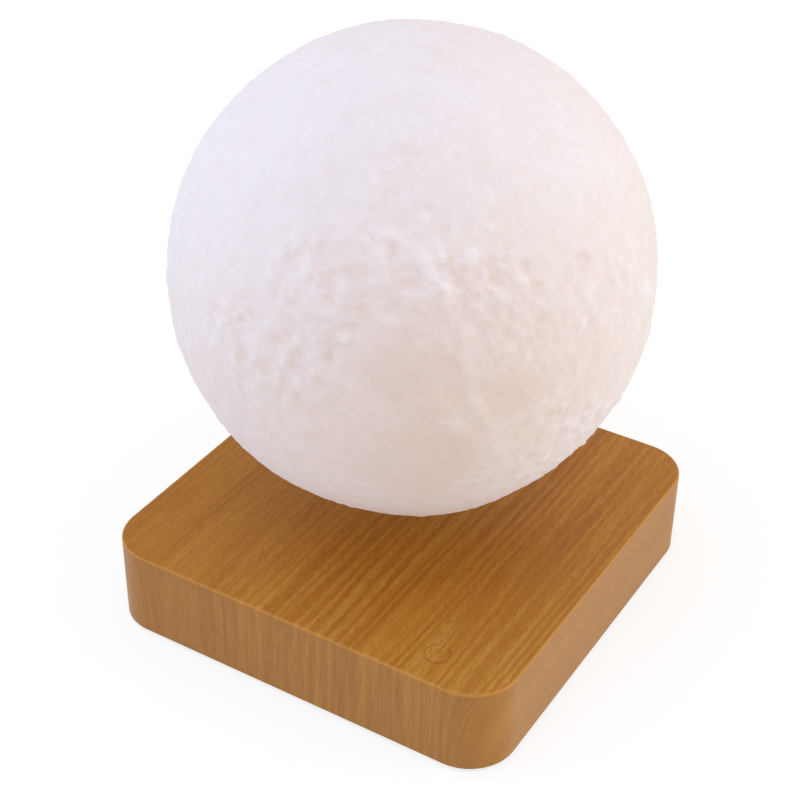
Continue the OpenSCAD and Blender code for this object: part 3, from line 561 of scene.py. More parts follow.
def arc_degrees(ways, way):
    """The angle between each of many directions and one."""
    return np.degrees(np.arccos(np.clip(ways @ way, -1, 1)))


def fractal(points, octaves, rough=0.8):
    """Fractal noise of each point, about -1 to 1."""
    return np.array([noise.fractal(Vector(p), rough, 2.0, octaves) for p in points])


def crater_profile(t):
    """Height at t radii from a crater's middle: a bowl of depth 1 inside a low rim."""
    bowl = -np.clip(1 - t ** 2, 0, None) ** BOWL_POWER
    return bowl + RIM_HEIGHT * np.exp(-((t - RIM_R) / RIM_WIDTH) ** 2)


def ruggedness(ways):
    """How rugged each direction is: about 1 on the highlands, a quarter on the plains."""
    wobble = WOBBLE * fractal(ways * WAVES["wobble"], 3)
    rough = np.full(len(ways), LOWLAND_ROUGHNESS)
    for lon, lat, radius, strength in HIGHLANDS:
        away = arc_degrees(ways, unit(lon, lat)) + wobble
        rough = np.maximum(rough, strength * smoothstep(away, *(radius * edge for edge in HIGHLAND_EDGE)))
    for lon, lat, radius in PLAINS:
        away = arc_degrees(ways, unit(lon, lat)) + 0.6 * wobble
        rough *= 0.5 + 0.5 * smoothstep(away, *(radius * edge for edge in PLAIN_EDGE))
    return rough


def painted_warm_light(ways):
    """How much of the painted warm light each direction gets."""
    return sum(strength * np.exp(-0.5 * (arc_degrees(ways, unit(lon, lat)) / spread) ** 2)
               for lon, lat, spread, strength in PAINTED_WARM_LIGHT_PATCHES)


def add_craters(height, ways, rough):
    """Adds the listed craters, and random knobs and small craters where the ground is rugged."""
    for lon, lat, radius, depth in CRATERS:
        away = np.radians(arc_degrees(ways, unit(lon, lat))) * GLOBE_R / MM / radius
        near = away < FORM_REACH
        height[near] += depth * crater_profile(away[near])
    rng = np.random.default_rng(SMALL_FORM_SEED)
    for _ in range(SMALL_FORMS):
        way = rng.normal(size=3)
        way /= np.linalg.norm(way)
        knob = rng.random() < KNOB_SHARE
        low, high = KNOB_R if knob else SMALL_CRATER_R
        radius = low * (high / low) ** (rng.random() ** SMALL_FORM_BIAS)
        depth = (SMALL_DEPTH + SMALL_SLOPE * radius) * rng.uniform(0.5, 1.0)
        near = np.nonzero(ways @ way > math.cos(FORM_REACH * radius * MM / GLOBE_R))[0]
        away = np.arccos(np.clip(ways[near] @ way, -1, 1)) * GLOBE_R / MM / radius
        if knob:
            form = KNOB_GAIN * np.exp(-(KNOB_TAPER * away) ** 2)
        else:
            form = SMALL_CRATER_GAIN * crater_profile(away)
        crowd = np.clip(0.7 + 1.4 * noise.noise(Vector(way * WAVES["crowd"])), 0.2, 1.2)
        height[near] += depth * crowd * rough[near] * form


def ridge_height(ways):
    """A winding crest through the points of RIDGE."""
    points = unit(*np.array(RIDGE, dtype=float).T)
    away = np.full(len(ways), 1e3)
    for a, b in zip(points[:-1], points[1:]):
        step = b - a
        t = np.clip((ways - a) @ step / (step @ step), 0, 1)
        away = np.minimum(away, np.linalg.norm(ways - a - t[:, None] * step, axis=1))
    away = away * GLOBE_R / MM + fractal(ways * WAVES["ridge"] + 3.0, 2)
    crest = 0.75 + 0.6 * fractal(ways * WAVES["crest"] + 8.0, 2)
    return RIDGE_HEIGHT * crest * np.exp(-(away / RIDGE_WIDTH) ** 2)


def wrinkles(ways):
    """Long low wrinkles that lie round the largest plain."""
    pole = unit(*WRINKLE_POLE)
    side = np.cross(pole, (0.0, 0.0, 1.0))
    side /= np.linalg.norm(side)
    turn = np.arctan2(ways @ side, ways @ np.cross(pole, side))
    away = np.radians(arc_degrees(ways, pole))
    rings = np.stack([np.cos(turn) * WRINKLE_TURNS, np.sin(turn) * WRINKLE_TURNS, away * WRINKLE_WAVES],
                     axis=1)
    away = np.degrees(away)
    return fractal(rings, 3) * smoothstep(away, *WRINKLE_RISE) * smoothstep(away, *WRINKLE_FADE)


def lumps(ways):
    """Rounded knobs and the creases between them, about -1 to 1."""
    shift = np.stack([fractal(ways * WAVES["bend"] + k * 9.0, 2) for k in range(3)], axis=1)
    knobs = np.array([noise.voronoi(Vector(p))[0][0] for p in ways * WAVES["knob"] + 0.5 * shift])
    return 0.5 * fractal(ways * WAVES["lump"], 3, 0.7) + 0.5 * (0.35 - knobs)


def moon_relief(ways):
    """Height of all relief and of its small forms each way, in millimetres, and how rugged it is there."""
    rough = ruggedness(ways)
    small = LUMP_HEIGHT * rough * lumps(ways) + WRINKLE_HEIGHT * rough * wrinkles(ways) + ridge_height(ways)
    add_craters(small, ways, rough)
    height = small + WARP_HEIGHT * fractal(ways * WAVES["warp"] + 1.7, 3)
    for lon, lat, spread, rise in SWELLS:
        away = arc_degrees(ways, unit(lon, lat))
        height += rise * np.exp(-0.5 * (away / spread) ** 2)
    return height, small, rough


def circle(radius, z, around):
    """Points round the z axis at the given angles, as an array."""
    return np.stack([radius * np.cos(around), radius * np.sin(around), np.full(len(around), z)], axis=1)


def moon_profile():
    """Polar angle of each outer row from the top pole down, then radius and height of the inner rows."""
    rim_angle = math.pi - math.asin(HOLE_R / GLOBE_R)
    outer = np.linspace(0, rim_angle, OUTER_ROWS + 1)[1:]
    in_r = GLOBE_R - WALL
    lip_top = CAP_TOP_Z + LIP_T - MOON_CENTRE.z
    inner = [(HOLE_R, CAP_TOP_Z - MOON_CENTRE.z), (LIP_IN_R, CAP_TOP_Z - MOON_CENTRE.z), (LIP_IN_R, lip_top)]
    start = math.acos(lip_top / in_r)
    for k in range(INNER_ROWS):
        a = start * (1 - k / INNER_ROWS)
        inner.append((in_r * math.sin(a), in_r * math.cos(a)))
    return outer, inner, in_r


def smooth(mesh):
    """Smooth shading, except over sharp edges."""
    mesh.polygons.foreach_set("use_smooth", [True] * len(mesh.polygons))
    mesh.set_sharp_from_angle(angle=SHARP_ANGLE)


def cut_screw_holes(globe):
    """Takes the cap screws' three holes out of the globe's lip."""
    mesh = bpy.data.meshes.new("lip_holes")
    shapes = bmesh.new()
    for a in THIRDS:
        turn = math.radians(a)
        place = Vector((SCREW_CIRCLE_R * math.cos(turn), SCREW_CIRCLE_R * math.sin(turn),
                        CAP_TOP_Z + LIP_T / 2))
        bmesh.ops.create_cone(shapes, cap_ends=True, segments=24, radius1=SCREW_HOLE_R, radius2=SCREW_HOLE_R,
                              depth=LIP_T * 2, matrix=Matrix.Translation(place))
    shapes.to_mesh(mesh)
    shapes.free()
    holes = new_object("lip_holes", mesh)
    cut = globe.modifiers.new("holes", "BOOLEAN")
    cut.operation = "DIFFERENCE"
    cut.object = holes
    cut.solver = "EXACT"
    bpy.context.view_layer.update()
    done = bpy.data.meshes.new_from_object(globe.evaluated_get(bpy.context.evaluated_depsgraph_get()))
    globe.modifiers.clear()
    globe.data = done
    bpy.data.objects.remove(holes)


def build_moon():
    """The printed globe: relief outside, a smooth wall inside, and the lip that the cap is screwed to."""
    outer, inner, in_r = moon_profile()
    turn = np.arange(SEGMENTS) * 2 * math.pi / SEGMENTS
    polar, around = np.meshgrid(outer, turn, indexing="ij")
    ways = np.stack([np.sin(polar) * np.cos(around), np.sin(polar) * np.sin(around), np.cos(polar)], axis=-1)
    ways = np.concatenate([[[0.0, 0.0, 1.0]], ways.reshape(-1, 3)])
    height, small, rough = moon_relief(ways)
    from_rim = (outer[-1] - np.arccos(np.clip(ways[:, 2], -1, 1))) * GLOBE_R / MM
    height *= smoothstep(from_rim, 0, RELIEF_EDGE)
    points = ways * (GLOBE_R + height[:, None] * MM)
    rings = [circle(r, z, turn) for r, z in inner]
    points = np.concatenate([points, *rings, [[0.0, 0.0, in_r]]]) + np.array(MOON_CENTRE)

    rows = OUTER_ROWS + len(inner)
    last = len(points) - 1
    faces = [(0, 1 + k, 1 + (k + 1) % SEGMENTS) for k in range(SEGMENTS)]
    for row in range(rows - 1):
        first = 1 + row * SEGMENTS
        for k in range(SEGMENTS):
            a, b = first + k, first + (k + 1) % SEGMENTS
            faces.append((a, a + SEGMENTS, b + SEGMENTS, b))
    first = 1 + (rows - 1) * SEGMENTS
    faces += [(first + k, last, first + (k + 1) % SEGMENTS) for k in range(SEGMENTS)]

    mesh = bpy.data.meshes.new("moon_relief_globe")
    mesh.from_pydata(points.tolist(), [], faces)
    for name, of_row in (("relief", small), ("rough", rough), ("painted_warm_light", painted_warm_light(ways))):
        values = np.zeros(len(points), dtype=np.float32)
        values[:len(of_row)] = of_row
        mesh.attributes.new(name, "FLOAT", "POINT").data.foreach_set("value", values)
    globe = new_object("moon_relief_globe", mesh)
    cut_screw_holes(globe)
    smooth(globe.data)
    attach(globe, "moon")
    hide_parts("moon_globe")
    return globe


def moon_print():
    """Matt white printed plastic: fine grain, faint layer lines, painted shade that makes the hollows warmer
    and darker, painted highlights on raised knobs, and patches of painted warm light.
    """
    m = Material("moon_print_relief", MOON_WHITE, Roughness=0.62, Specular_IOR_Level=0.15)
    m.feed("Subsurface Weight", 0.25)
    m.feed("Subsurface Scale", 1.5 * MM)
    m.shader.inputs["Subsurface Radius"].default_value = (1.0, 0.75, 0.6)
    place = m.place()
    relief, rough, warm_light_paint = (m.node("ShaderNodeAttribute", attribute_name=name).outputs["Fac"]
                           for name in ("relief", "rough", "painted_warm_light"))
    # Painted shade: the hollows of the relief turn warmer and darker
    painted_hollow_shade = m.span(relief, 0.12, -0.4, smooth=True)
    stain = m.noise(place, STAIN, 3.0, 0.6)
    tint = m.math("ADD", m.times(painted_hollow_shade, 0.3), m.span(stain, 0.4, 0.7, 0.0, 0.14))
    tint = m.math("ADD", tint, m.span(rough, 0.48, 0.28, 0.0, 0.2))
    dip = m.span(m.noise(place, DIP, 2.0), 0.48, 0.68, 0.0, 0.16, smooth=True)
    tint = m.math("MULTIPLY_ADD", dip, rough, tint)
    # Painted light: patches turned warmer, as by light thrown up from the wood base
    tint = m.math("ADD", tint, warm_light_paint)
    knobs = m.span(m.noise(place, KNOB, 0), 0.4, 0.75, smooth=True)
    crowd = m.span(m.noise(place, KNOB_CROWD, 2.0), 0.4, 0.6, 0.3, 1.0, smooth=True)
    rise = m.times(m.times(knobs, rough), crowd)
    colour = m.blend(tint, MOON_WHITE, MOON_PEACH_AND_SHADE)
    # Painted highlight: raised knobs and relief turn whiter and bluer
    raised = m.times(m.span(relief, 0.08, 0.5, smooth=True), m.span(rough, 0.4, 1.0, 0.2, 0.75))
    crest = m.math("MAXIMUM", m.times(rise, 0.5), raised)
    m.feed("Base Color", m.blend(crest, colour, MOON_PAINTED_HIGHLIGHT))
    lines = m.stretched_noise(place, LAYER_LINE, 1.0)
    grain = m.noise(place, PRINT_GRAIN, 2.0, 0.6)
    forms = m.math("MULTIPLY_ADD", rise, 0.9, grain)
    m.bump(m.math("MULTIPLY_ADD", lines, LAYER_SHARE, forms), PRINT_DEPTH)
    m.feed("Roughness", m.span(grain, 0.3, 0.7, 0.7, 0.55))
    return m.data


# ---------- materials of the other pieces ----------

COPPER = (0.722, 0.361, 0.18)
STEEL = (0.62, 0.62, 0.639)
PHOSPHOR = (0.86, 0.56, 0.10)
THREAD_PITCH = 0.7 * MM
TRACK_PITCH = 1.1 * MM
TRACK_FIELD = 8.8 * MM
VIA_PITCH = 4.4 * MM
VIA_SHARE = 0.6
PAD_R = 0.15
DRILL_R = 0.065
TIN = (0.72, 0.70, 0.66)
DRILL_HOLE_SHADE = (0.02, 0.02, 0.02)
BOARD_LAYERS = 30
SLEEVE_FOLD_R = 3.2 * MM
SLEEVE_RIM = 0.5 * MM
DASH_PITCH = 2.4 * MM
LENS_RISE = 0.08 * MM


def moulded(name, colour, roughness=0.5, grain=0.3 * MM, depth=0.03 * MM, specular=0.4):
    """Moulded plastic or rubber: eroded grain, flow marks, and patches that handling has polished."""
    m = Material(name, colour, Specular_IOR_Level=specular)
    place = m.place()
    flow = m.span(m.noise(place, 11 * MM, 3.0, 0.6), 0.35, 0.65)
    specks = m.span(m.noise(place, 0.5 * MM, 1.0), 0.62, 0.72, 0.0, 0.25)
    m.feed("Base Color", m.blend(specks, m.blend(flow, shade(colour, 0.85), shade(colour, 1.15)),
                                 shade(colour, 1.5)))
    m.feed("Roughness", m.span(flow, 0, 1, roughness - 0.07, roughness + 0.07))
    m.bump(m.noise(place, grain, 2.0, 0.6), depth)
    return m


def foot_rubber():
    """Matt rubber with pale dust in patches."""
    colour = (0.051, 0.051, 0.051)
    m = moulded("foot_rubber", colour, 0.82, 0.4 * MM, 0.05 * MM, 0.25)
    dust = m.span(m.noise(m.place(), 2.2 * MM, 4.0, 0.7), 0.52, 0.72, 0.0, 0.3)
    m.feed("Base Color", m.blend(dust, colour, (0.2, 0.19, 0.17)))
    return m


def bobbin_nylon():
    m = moulded("bobbin_nylon", (0.878, 0.859, 0.788), 0.42, 0.5 * MM, 0.015 * MM)
    m.feed("Subsurface Weight", 0.2)
    m.feed("Subsurface Scale", 1 * MM)
    return m


def film_capacitor():
    m = moulded("film_capacitor", (0.42, 0.051, 0.051), 0.3, 0.8 * MM, 0.04 * MM, 0.5)
    m.feed("Coat Weight", 0.4)
    m.feed("Coat Roughness", 0.12)
    return m


def ferrite():
    """Dark sintered ceramic with fine sparkling grains and small chipped spots."""
    m = moulded("ferrite", (0.169, 0.169, 0.18), 0.55, 0.6 * MM, 0.03 * MM, 0.5)
    place = m.place()
    grains = m.span(m.noise(place, 0.3 * MM, 1.0), 0.6, 0.75, 0.0, 0.5)
    chips = m.span(m.noise(place, 1.8 * MM, 3.0, 0.7), 0.64, 0.7)
    colour = m.blend(grains, (0.15, 0.15, 0.16), (0.34, 0.34, 0.36))
    m.feed("Base Color", m.blend(chips, colour, (0.08, 0.08, 0.085)))
    m.bump(m.math("SUBTRACT", m.noise(place, 0.6 * MM, 2.0), chips), 0.05 * MM)
    return m


def bare_metal(name, colour, roughness, tint, marks, depth=0.01 * MM):
    """Metal with clouds of another tint, and marks of the given length along x, y and z."""
    m = Material(name, colour, Metallic=1.0)
    place = m.place()
    m.lines = m.stretched_noise(place, marks, 3.0, 0.6)
    clouds = m.span(m.noise(place, 3 * MM, 3.0, 0.6), 0.4, 0.62)
    m.colour = m.blend(clouds, colour, tint)
    m.feed("Base Color", m.colour)
    m.feed("Roughness", m.span(m.lines, 0.3, 0.7, roughness - 0.08, roughness + 0.1))
    m.bump(m.lines, depth)
    return m


def screw_steel():
    """Zinc-plated steel; upright faces carry the thread."""
    m = bare_metal("screw_steel", STEEL, 0.3, (0.66, 0.63, 0.5), (0.25 * MM, 0.25 * MM, 0.25 * MM))
    z = m.parts(m.place())[2]
    side = m.span(m.math("ABSOLUTE", m.parts(m.normal())[2]), 0.5, 0.2)
    crest = m.math("PINGPONG", m.times(z, 2 / THREAD_PITCH), 1.0)
    # Painted shade: the thread's grooves are darkened in the colour
    painted_groove_shade = m.times(m.span(crest, 0.5, 0.0), side)
    m.feed("Base Color", m.lay(m.colour, (0.2, 0.2, 0.21), painted_groove_shade, 0.6))
    m.bump(m.math("MULTIPLY_ADD", m.lines, 0.1, m.times(crest, side)), 0.12 * MM)
    return m


def magnet_nickel():
    """Nickel plating with an uneven skin and hair scratches."""
    m = bare_metal("magnet_nickel", (0.722, 0.71, 0.69), 0.24, (0.66, 0.64, 0.6), (9 * MM, 0.3 * MM, 2 * MM))
    place = m.place()
    hairs = m.math("ABSOLUTE", m.math("SUBTRACT", m.noise(place, 5 * MM, 1.0), 0.5))
    hairs = m.span(hairs, 0.0, 0.004, 1.0, 0.0)
    m.feed("Base Color", m.lay(m.colour, (0.35, 0.34, 0.33), hairs, 0.4))
    m.bump(m.math("SUBTRACT", m.noise(place, 1.2 * MM, 2.0), hairs), 0.02 * MM)
    return m


def enamelled_wire():
    """Copper wire under clear varnish."""
    m = Material("enamelled_wire", COPPER, Metallic=0.9, Coat_Weight=0.6, Coat_Roughness=0.14)
    place = m.place()
    varnish = m.span(m.noise(place, 2.4 * MM, 3.0, 0.6), 0.35, 0.65)
    m.feed("Base Color", m.blend(varnish, (0.62, 0.27, 0.11), (0.80, 0.43, 0.23)))
    m.feed("Roughness", m.span(varnish, 0, 1, 0.26, 0.4))
    m.bump(m.noise(place, 0.3 * MM, 2.0, 0.6), 0.012 * MM)
    return m


def circuit_board(name, mask, track, edge):
    """Solder mask over copper tracks, which turn from field to field, with tinned pads round holes painted
    black as shade.
    """
    m = Material(name, mask, Specular_IOR_Level=0.5)
    place = m.place()
    x, y = m.parts(place)[:2]

    def chance(size, seed):
        field = m.node("ShaderNodeVectorMath", place, (size, size, 1.0), operation="SNAP").outputs[0]
        return m.node("ShaderNodeTexWhiteNoise", field, seed, noise_dimensions="4D").outputs["Value"]

    def from_middle(value, pitch):
        part = m.math("FRACT", m.times(value, 1 / pitch))
        return m.math("ABSOLUTE", m.math("SUBTRACT", part, 0.5))

    line_x, line_y = from_middle(x, TRACK_PITCH), from_middle(y, TRACK_PITCH)
    turned = m.math("GREATER_THAN", chance(TRACK_FIELD, 0.3), 0.5)
    off_line = m.math("MULTIPLY_ADD", m.math("SUBTRACT", line_y, line_x), turned, line_x)
    poured = m.math("GREATER_THAN", chance(TRACK_FIELD, 7.7), 0.55)
    copper = m.math("MAXIMUM", m.span(off_line, 0.24, 0.2), poured)
    reach = m.distance(from_middle(x, VIA_PITCH), from_middle(y, VIA_PITCH))
    there = m.math("GREATER_THAN", chance(VIA_PITCH, 3.1), VIA_SHARE)
    pad = m.times(m.span(reach, PAD_R + 0.01, PAD_R - 0.01), there)
    hole = m.times(m.span(reach, DRILL_R + 0.005, DRILL_R - 0.005), there)
    flat = m.span(m.math("ABSOLUTE", m.parts(m.normal())[2]), 0.5, 0.8)
    ring = m.times(m.math("SUBTRACT", pad, hole), flat)
    mottle = m.noise(place, 0.4 * MM, 2.0)
    colour = m.blend(copper, mask, track)
    colour = m.blend(m.span(mottle, 0.3, 0.7, 0.0, 0.25), colour, shade(mask, 0.6))
    colour = m.blend(pad, colour, TIN)
    # Painted shade: near-black discs where the holes would be dark; the board has no holes cut
    colour = m.blend(hole, colour, DRILL_HOLE_SHADE)
    squeezed = m.vector(x, y, m.times(m.parts(place)[2], BOARD_LAYERS))
    layers = m.noise(squeezed, 1.5 * MM, 2.0)
    colour = m.blend(flat, m.blend(m.span(layers, 0.4, 0.6), edge, shade(edge, 0.7)), colour)
    m.feed("Base Color", colour)
    m.feed("Metallic", ring)
    m.feed("Roughness", m.math("MULTIPLY_ADD", flat, -0.38, 0.75))
    raised = m.math("ADD", copper, m.math("SUBTRACT", pad, hole))
    m.bump(m.math("MULTIPLY_ADD", mottle, 0.3, raised), 0.03 * MM)
    return m


def capacitor_sleeve():
    """Shrink sleeve with a pale stripe of dashes, folded over the rim of a bare aluminium top."""
    sleeve = (0.059, 0.071, 0.161)
    m = moulded("capacitor_sleeve", sleeve, 0.35, 0.8 * MM, 0.02 * MM, 0.5)
    low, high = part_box("power_capacitors")
    x, y, z = m.parts(m.place())
    pitch = (high.y - low.y - (high.x - low.x)) / 2
    across = m.math("SUBTRACT", x, (low.x + high.x) / 2)
    nearest = m.math("ROUND", m.times(y, 1 / pitch))
    along = m.math("SUBTRACT", y, m.times(nearest, pitch))
    side = m.math("ABSOLUTE", along)
    facing = m.times(m.span(side, 1.3 * MM, 1.1 * MM), m.math("GREATER_THAN", across, 0.0))
    dash = m.math("GREATER_THAN", m.math("FRACT", m.times(z, 1 / DASH_PITCH)), 0.45)
    dash = m.times(dash, m.span(side, 0.4 * MM, 0.3 * MM))
    colour = m.blend(facing, sleeve, (0.55, 0.57, 0.6))
    colour = m.lay(colour, sleeve, dash, facing)
    inside_fold = m.span(m.distance(across, along), SLEEVE_FOLD_R, SLEEVE_FOLD_R - 0.1 * MM)
    top = m.times(inside_fold, m.math("GREATER_THAN", z, high.z - SLEEVE_RIM))
    m.feed("Base Color", m.blend(top, colour, (0.75, 0.75, 0.76)))
    m.feed("Metallic", top)
    return m


def led_lens():
    """White package round a yellow dome of phosphor."""
    m = moulded("led_lens", (0.86, 0.86, 0.84), 0.4, 0.3 * MM, 0.01 * MM)
    place = m.place()
    dome = m.math("GREATER_THAN", m.parts(place)[2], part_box("led_chips")[1].z - LENS_RISE)
    powder = m.span(m.noise(place, 0.25 * MM, 2.0), 0.35, 0.65)
    gel = m.blend(powder, PHOSPHOR, shade(PHOSPHOR, 1.12))
    m.feed("Base Color", m.blend(dome, m.blend(powder, (0.84, 0.84, 0.82), (0.9, 0.9, 0.88)), gel))
    return m


def slot_materials():
    """One material for each slot of the record that a carried-over node shows."""
    drawn = (0.2 * MM, 0.2 * MM, 4 * MM)
    made = {
        "dark_plastic": moulded("dark_plastic", (0.09, 0.09, 0.094)),
        "foot_rubber": foot_rubber(),
        "screw_steel": screw_steel(),
        "green_board": circuit_board("green_board", (0.028, 0.17, 0.08), (0.045, 0.27, 0.125),
                                     (0.42, 0.34, 0.13)),
        "white_board": circuit_board("white_board", (0.86, 0.86, 0.84), (0.93, 0.93, 0.91),
                                     (0.55, 0.55, 0.56)),
        "ferrite": ferrite(),
        "copper": enamelled_wire(),
        "bobbin_nylon": bobbin_nylon(),
        "core_iron": bare_metal("core_iron", (0.502, 0.502, 0.522), 0.38, (0.44, 0.42, 0.4),
                                (0.15 * MM, 3 * MM, 2 * MM), 0.02 * MM),
        "pin_metal": bare_metal("pin_metal", (0.8, 0.722, 0.502), 0.28, (0.76, 0.72, 0.6), drawn),
        "spring_metal": bare_metal("spring_metal", (0.749, 0.698, 0.549), 0.3, (0.66, 0.58, 0.42), drawn),
        "chip_black": moulded("chip_black", (0.051, 0.051, 0.055), 0.6, 0.15 * MM, 0.02 * MM),
        "inlet_plastic": moulded("inlet_plastic", (0.039, 0.039, 0.043), 0.38, 0.35 * MM, 0.015 * MM),
        "capacitor_sleeve": capacitor_sleeve(),
        "film_capacitor": film_capacitor(),
        "magnet_nickel": magnet_nickel(),
        "led_lens": led_lens(),
    }
    return {slot: m.data for slot, m in made.items()}


NODES_OF_SLOT = {
    "dark_plastic": ("bottom_cover", "magnet_tray"),
    "foot_rubber": ("rubber_feet",),
    "screw_steel": ("cover_screws", "tray_screws", "core_screws", "cap_screws", "led_screws"),
    "green_board": ("main_board", "sensor_board"),
    "white_board": ("led_board",),
    "ferrite": ("ring_magnet", "ferrite_shield", "power_inductor"),
    "copper": ("transmitter_leads", "receiver_leads"),
    "bobbin_nylon": ("coil_bobbins", "led_carrier"),
    "core_iron": ("coil_cores",),
    "pin_metal": ("bobbin_pins", "sensor_pins", "inlet_pin", "inlet_contact"),
    "spring_metal": ("touch_spring",),
    "chip_black": ("hall_sensors", "driver_chips", "control_chip", "rectifier_chips"),
    "inlet_plastic": ("inlet_body",),
    "capacitor_sleeve": ("power_capacitors",),
    "film_capacitor": ("tuning_capacitors",),
    "magnet_nickel": ("float_magnet",),
    "led_lens": ("led_chips",),
}


# ---------- wound coils ----------

COIL_LAYERS = 3
WIRE_STEPS = 60
WIRE_SIDES = 6
LAYER_STEP = 0.15
SLACK = 0.01 * MM


def append_part(points, faces, part_points, part_faces):
    first = len(points)
    points.extend(part_points)
    faces.extend(tuple(first + corner for corner in face) for face in part_faces)


def add_piece(name, points, faces, body, slot, materials, replaced=()):
    """A mesh piece that rides on a body, stands for CAD nodes and takes its finish from a slot."""
    mesh = bpy.data.meshes.new(name)
    mesh.from_pydata(points, [], faces)
    mesh.materials.append(materials[slot])
    piece = new_object(name, mesh)
    smooth(mesh)
    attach(piece, body)
    if replaced:
        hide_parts(*replaced)


def wire_turns(turns, radii, heights, wire_r):
    """A wire wound round the z axis: its radius and height go evenly between those at the given turns."""
    steps = np.arange(0, turns[-1] + 1 / WIRE_STEPS, 1 / WIRE_STEPS)
    angle = (steps * 2 * math.pi)[:, None]
    side = np.arange(WIRE_SIDES) * 2 * math.pi / WIRE_SIDES
    reach = np.interp(steps, turns, radii)[:, None] + wire_r * np.cos(side)
    height = np.interp(steps, turns, heights)[:, None] + wire_r * np.sin(side)
    points = np.stack([reach * np.cos(angle), reach * np.sin(angle), height], axis=-1).reshape(-1, 3)
    faces = [tuple(range(WIRE_SIDES))]
    for row in range(len(steps) - 1):
        for k in range(WIRE_SIDES):
            a, b = row * WIRE_SIDES + k, row * WIRE_SIDES + (k + 1) % WIRE_SIDES
            faces.append((a, a + WIRE_SIDES, b + WIRE_SIDES, b))
    last = len(points) - WIRE_SIDES
    faces.append(tuple(last + k for k in reversed(range(WIRE_SIDES))))
    return points, faces


def flat_coil(node, in_r, body, materials):
    """A flat coil in its CAD ring's place: a spiral that runs out, up a layer and in again."""
    low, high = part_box(node)
    wire_r = (high.z - low.z) / COIL_LAYERS / 2
    count = round((high.x - in_r) / (2 * wire_r)) - 1
    turns, radii, heights = [], [], []
    for layer in range(COIL_LAYERS):
        start = layer * (count + LAYER_STEP)
        ends = (in_r + wire_r, high.x - wire_r)
        turns += [start, start + count]
        radii += ends if layer % 2 == 0 else ends[::-1]
        heights += [low.z + wire_r * (2 * layer + 1)] * 2
    points, faces = wire_turns(turns, radii, heights, wire_r - SLACK)
    add_piece(node + "_wire", points.tolist(), faces, body, "copper", materials, (node,))


def ring_solid(in_r, out_r, low, high):
    """A closed square-edged ring round the z axis."""
    around = np.arange(WIRE_STEPS) * 2 * math.pi / WIRE_STEPS
    corners = ((in_r, low), (out_r, low), (out_r, high), (in_r, high))
    points = np.concatenate([circle(r, z, around) for r, z in corners])
    faces = []
    for c in range(4):
        a, b = c * WIRE_STEPS, (c + 1) % 4 * WIRE_STEPS
        for k in range(WIRE_STEPS):
            after = (k + 1) % WIRE_STEPS
            faces.append((a + k, a + after, b + after, b + k))
    return points, faces


def magnet_windings(materials):
    """The four electromagnets' windings: two outer layers of turns over the buried ones."""
    low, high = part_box("coil_windings")
    out_r = high.x - BOBBIN_CIRCLE_R
    inner, outer = out_r - 3 * WINDING_WIRE_R, out_r - WINDING_WIRE_R
    bottom, top = low.z + WINDING_WIRE_R, high.z - WINDING_WIRE_R
    count = round((top - bottom) / (2 * WINDING_WIRE_R))
    wire = wire_turns([0, count, count + LAYER_STEP, 2 * count + LAYER_STEP], [inner, inner, outer, outer],
                      [bottom, top, top, bottom], WINDING_WIRE_R - SLACK)
    buried = ring_solid(HUB_R, inner - WINDING_WIRE_R, low.z + SLACK, high.z - SLACK)
    points, faces = [], []
    for k in range(4):
        a = k * math.pi / 2
        middle = (BOBBIN_CIRCLE_R * math.cos(a), BOBBIN_CIRCLE_R * math.sin(a), 0)
        for part_points, part_faces in (wire, buried):
            append_part(points, faces, (part_points + middle).tolist(), part_faces)
    add_piece("coil_windings_wire", points, faces, "base", "copper", materials, ("coil_windings",))


# ---------- small parts on the main board ----------

# Small resistors and capacitors: x and y in millimetres, and 1 where it is turned by a quarter
PASSIVES = (
    (-50, -55, 0), (-46.5, -55, 0), (-43, -55, 0), (-39.5, -55, 1), (-36, -57, 1), (-30, -60, 0),
    (-30, -57, 0), (-9, -60, 1), (-9, -64, 1), (8, -60, 1), (8, -64, 1), (12, -60, 0), (12, -57.5, 0),
    (20, -60, 0), (24, -60, 0), (28, -60, 1), (54, -12, 1), (54, -4, 1), (54, 4, 1), (54, 12, 1),
    (58, -24, 0), (61.5, -24, 0), (58, 24, 0), (61.5, 24, 0), (-54, -14, 1), (-54, -6, 1), (-54, 6, 1),
    (-54, 14, 1), (28, 60, 0), (32, 60, 0), (-28, 60, 0), (-32, 60, 0), (-10, 58, 1), (10, 58, 1),
)
PASSIVE_SIZE = (2.0 * MM, 1.25 * MM, 0.6 * MM)
PASSIVE_END = 0.4 * MM
DRIVER_CHIPS = 4
DRIVER_LEGS = 4
CONTROL_LEGS = 5
LEG_PITCH = 1.27 * MM
CONTROL_PITCH_SHARE = 0.8
LEG_REACH = 1.0 * MM
LEG_W = 0.4 * MM
LEG_T = 0.2 * MM
FOOT_T = 0.22 * MM


def directions(turn):
    """Outward and sideways on the board, at the given turn."""
    return Vector((math.cos(turn), math.sin(turn), 0)), Vector((-math.sin(turn), math.cos(turn), 0))


def prism(outline, place, turn, width):
    """An outline of outward and upward steps, as wide as given, turned and put on the board."""
    out, side = directions(turn)
    count = len(outline)
    points = [place + out * reach + side * s + Vector((0, 0, rise))
              for s in (-width / 2, width / 2) for reach, rise in outline]
    faces = [tuple(reversed(range(count))), tuple(range(count, 2 * count))]
    faces += [(k, (k + 1) % count, (k + 1) % count + count, k + count) for k in range(count)]
    return [tuple(point) for point in points], faces


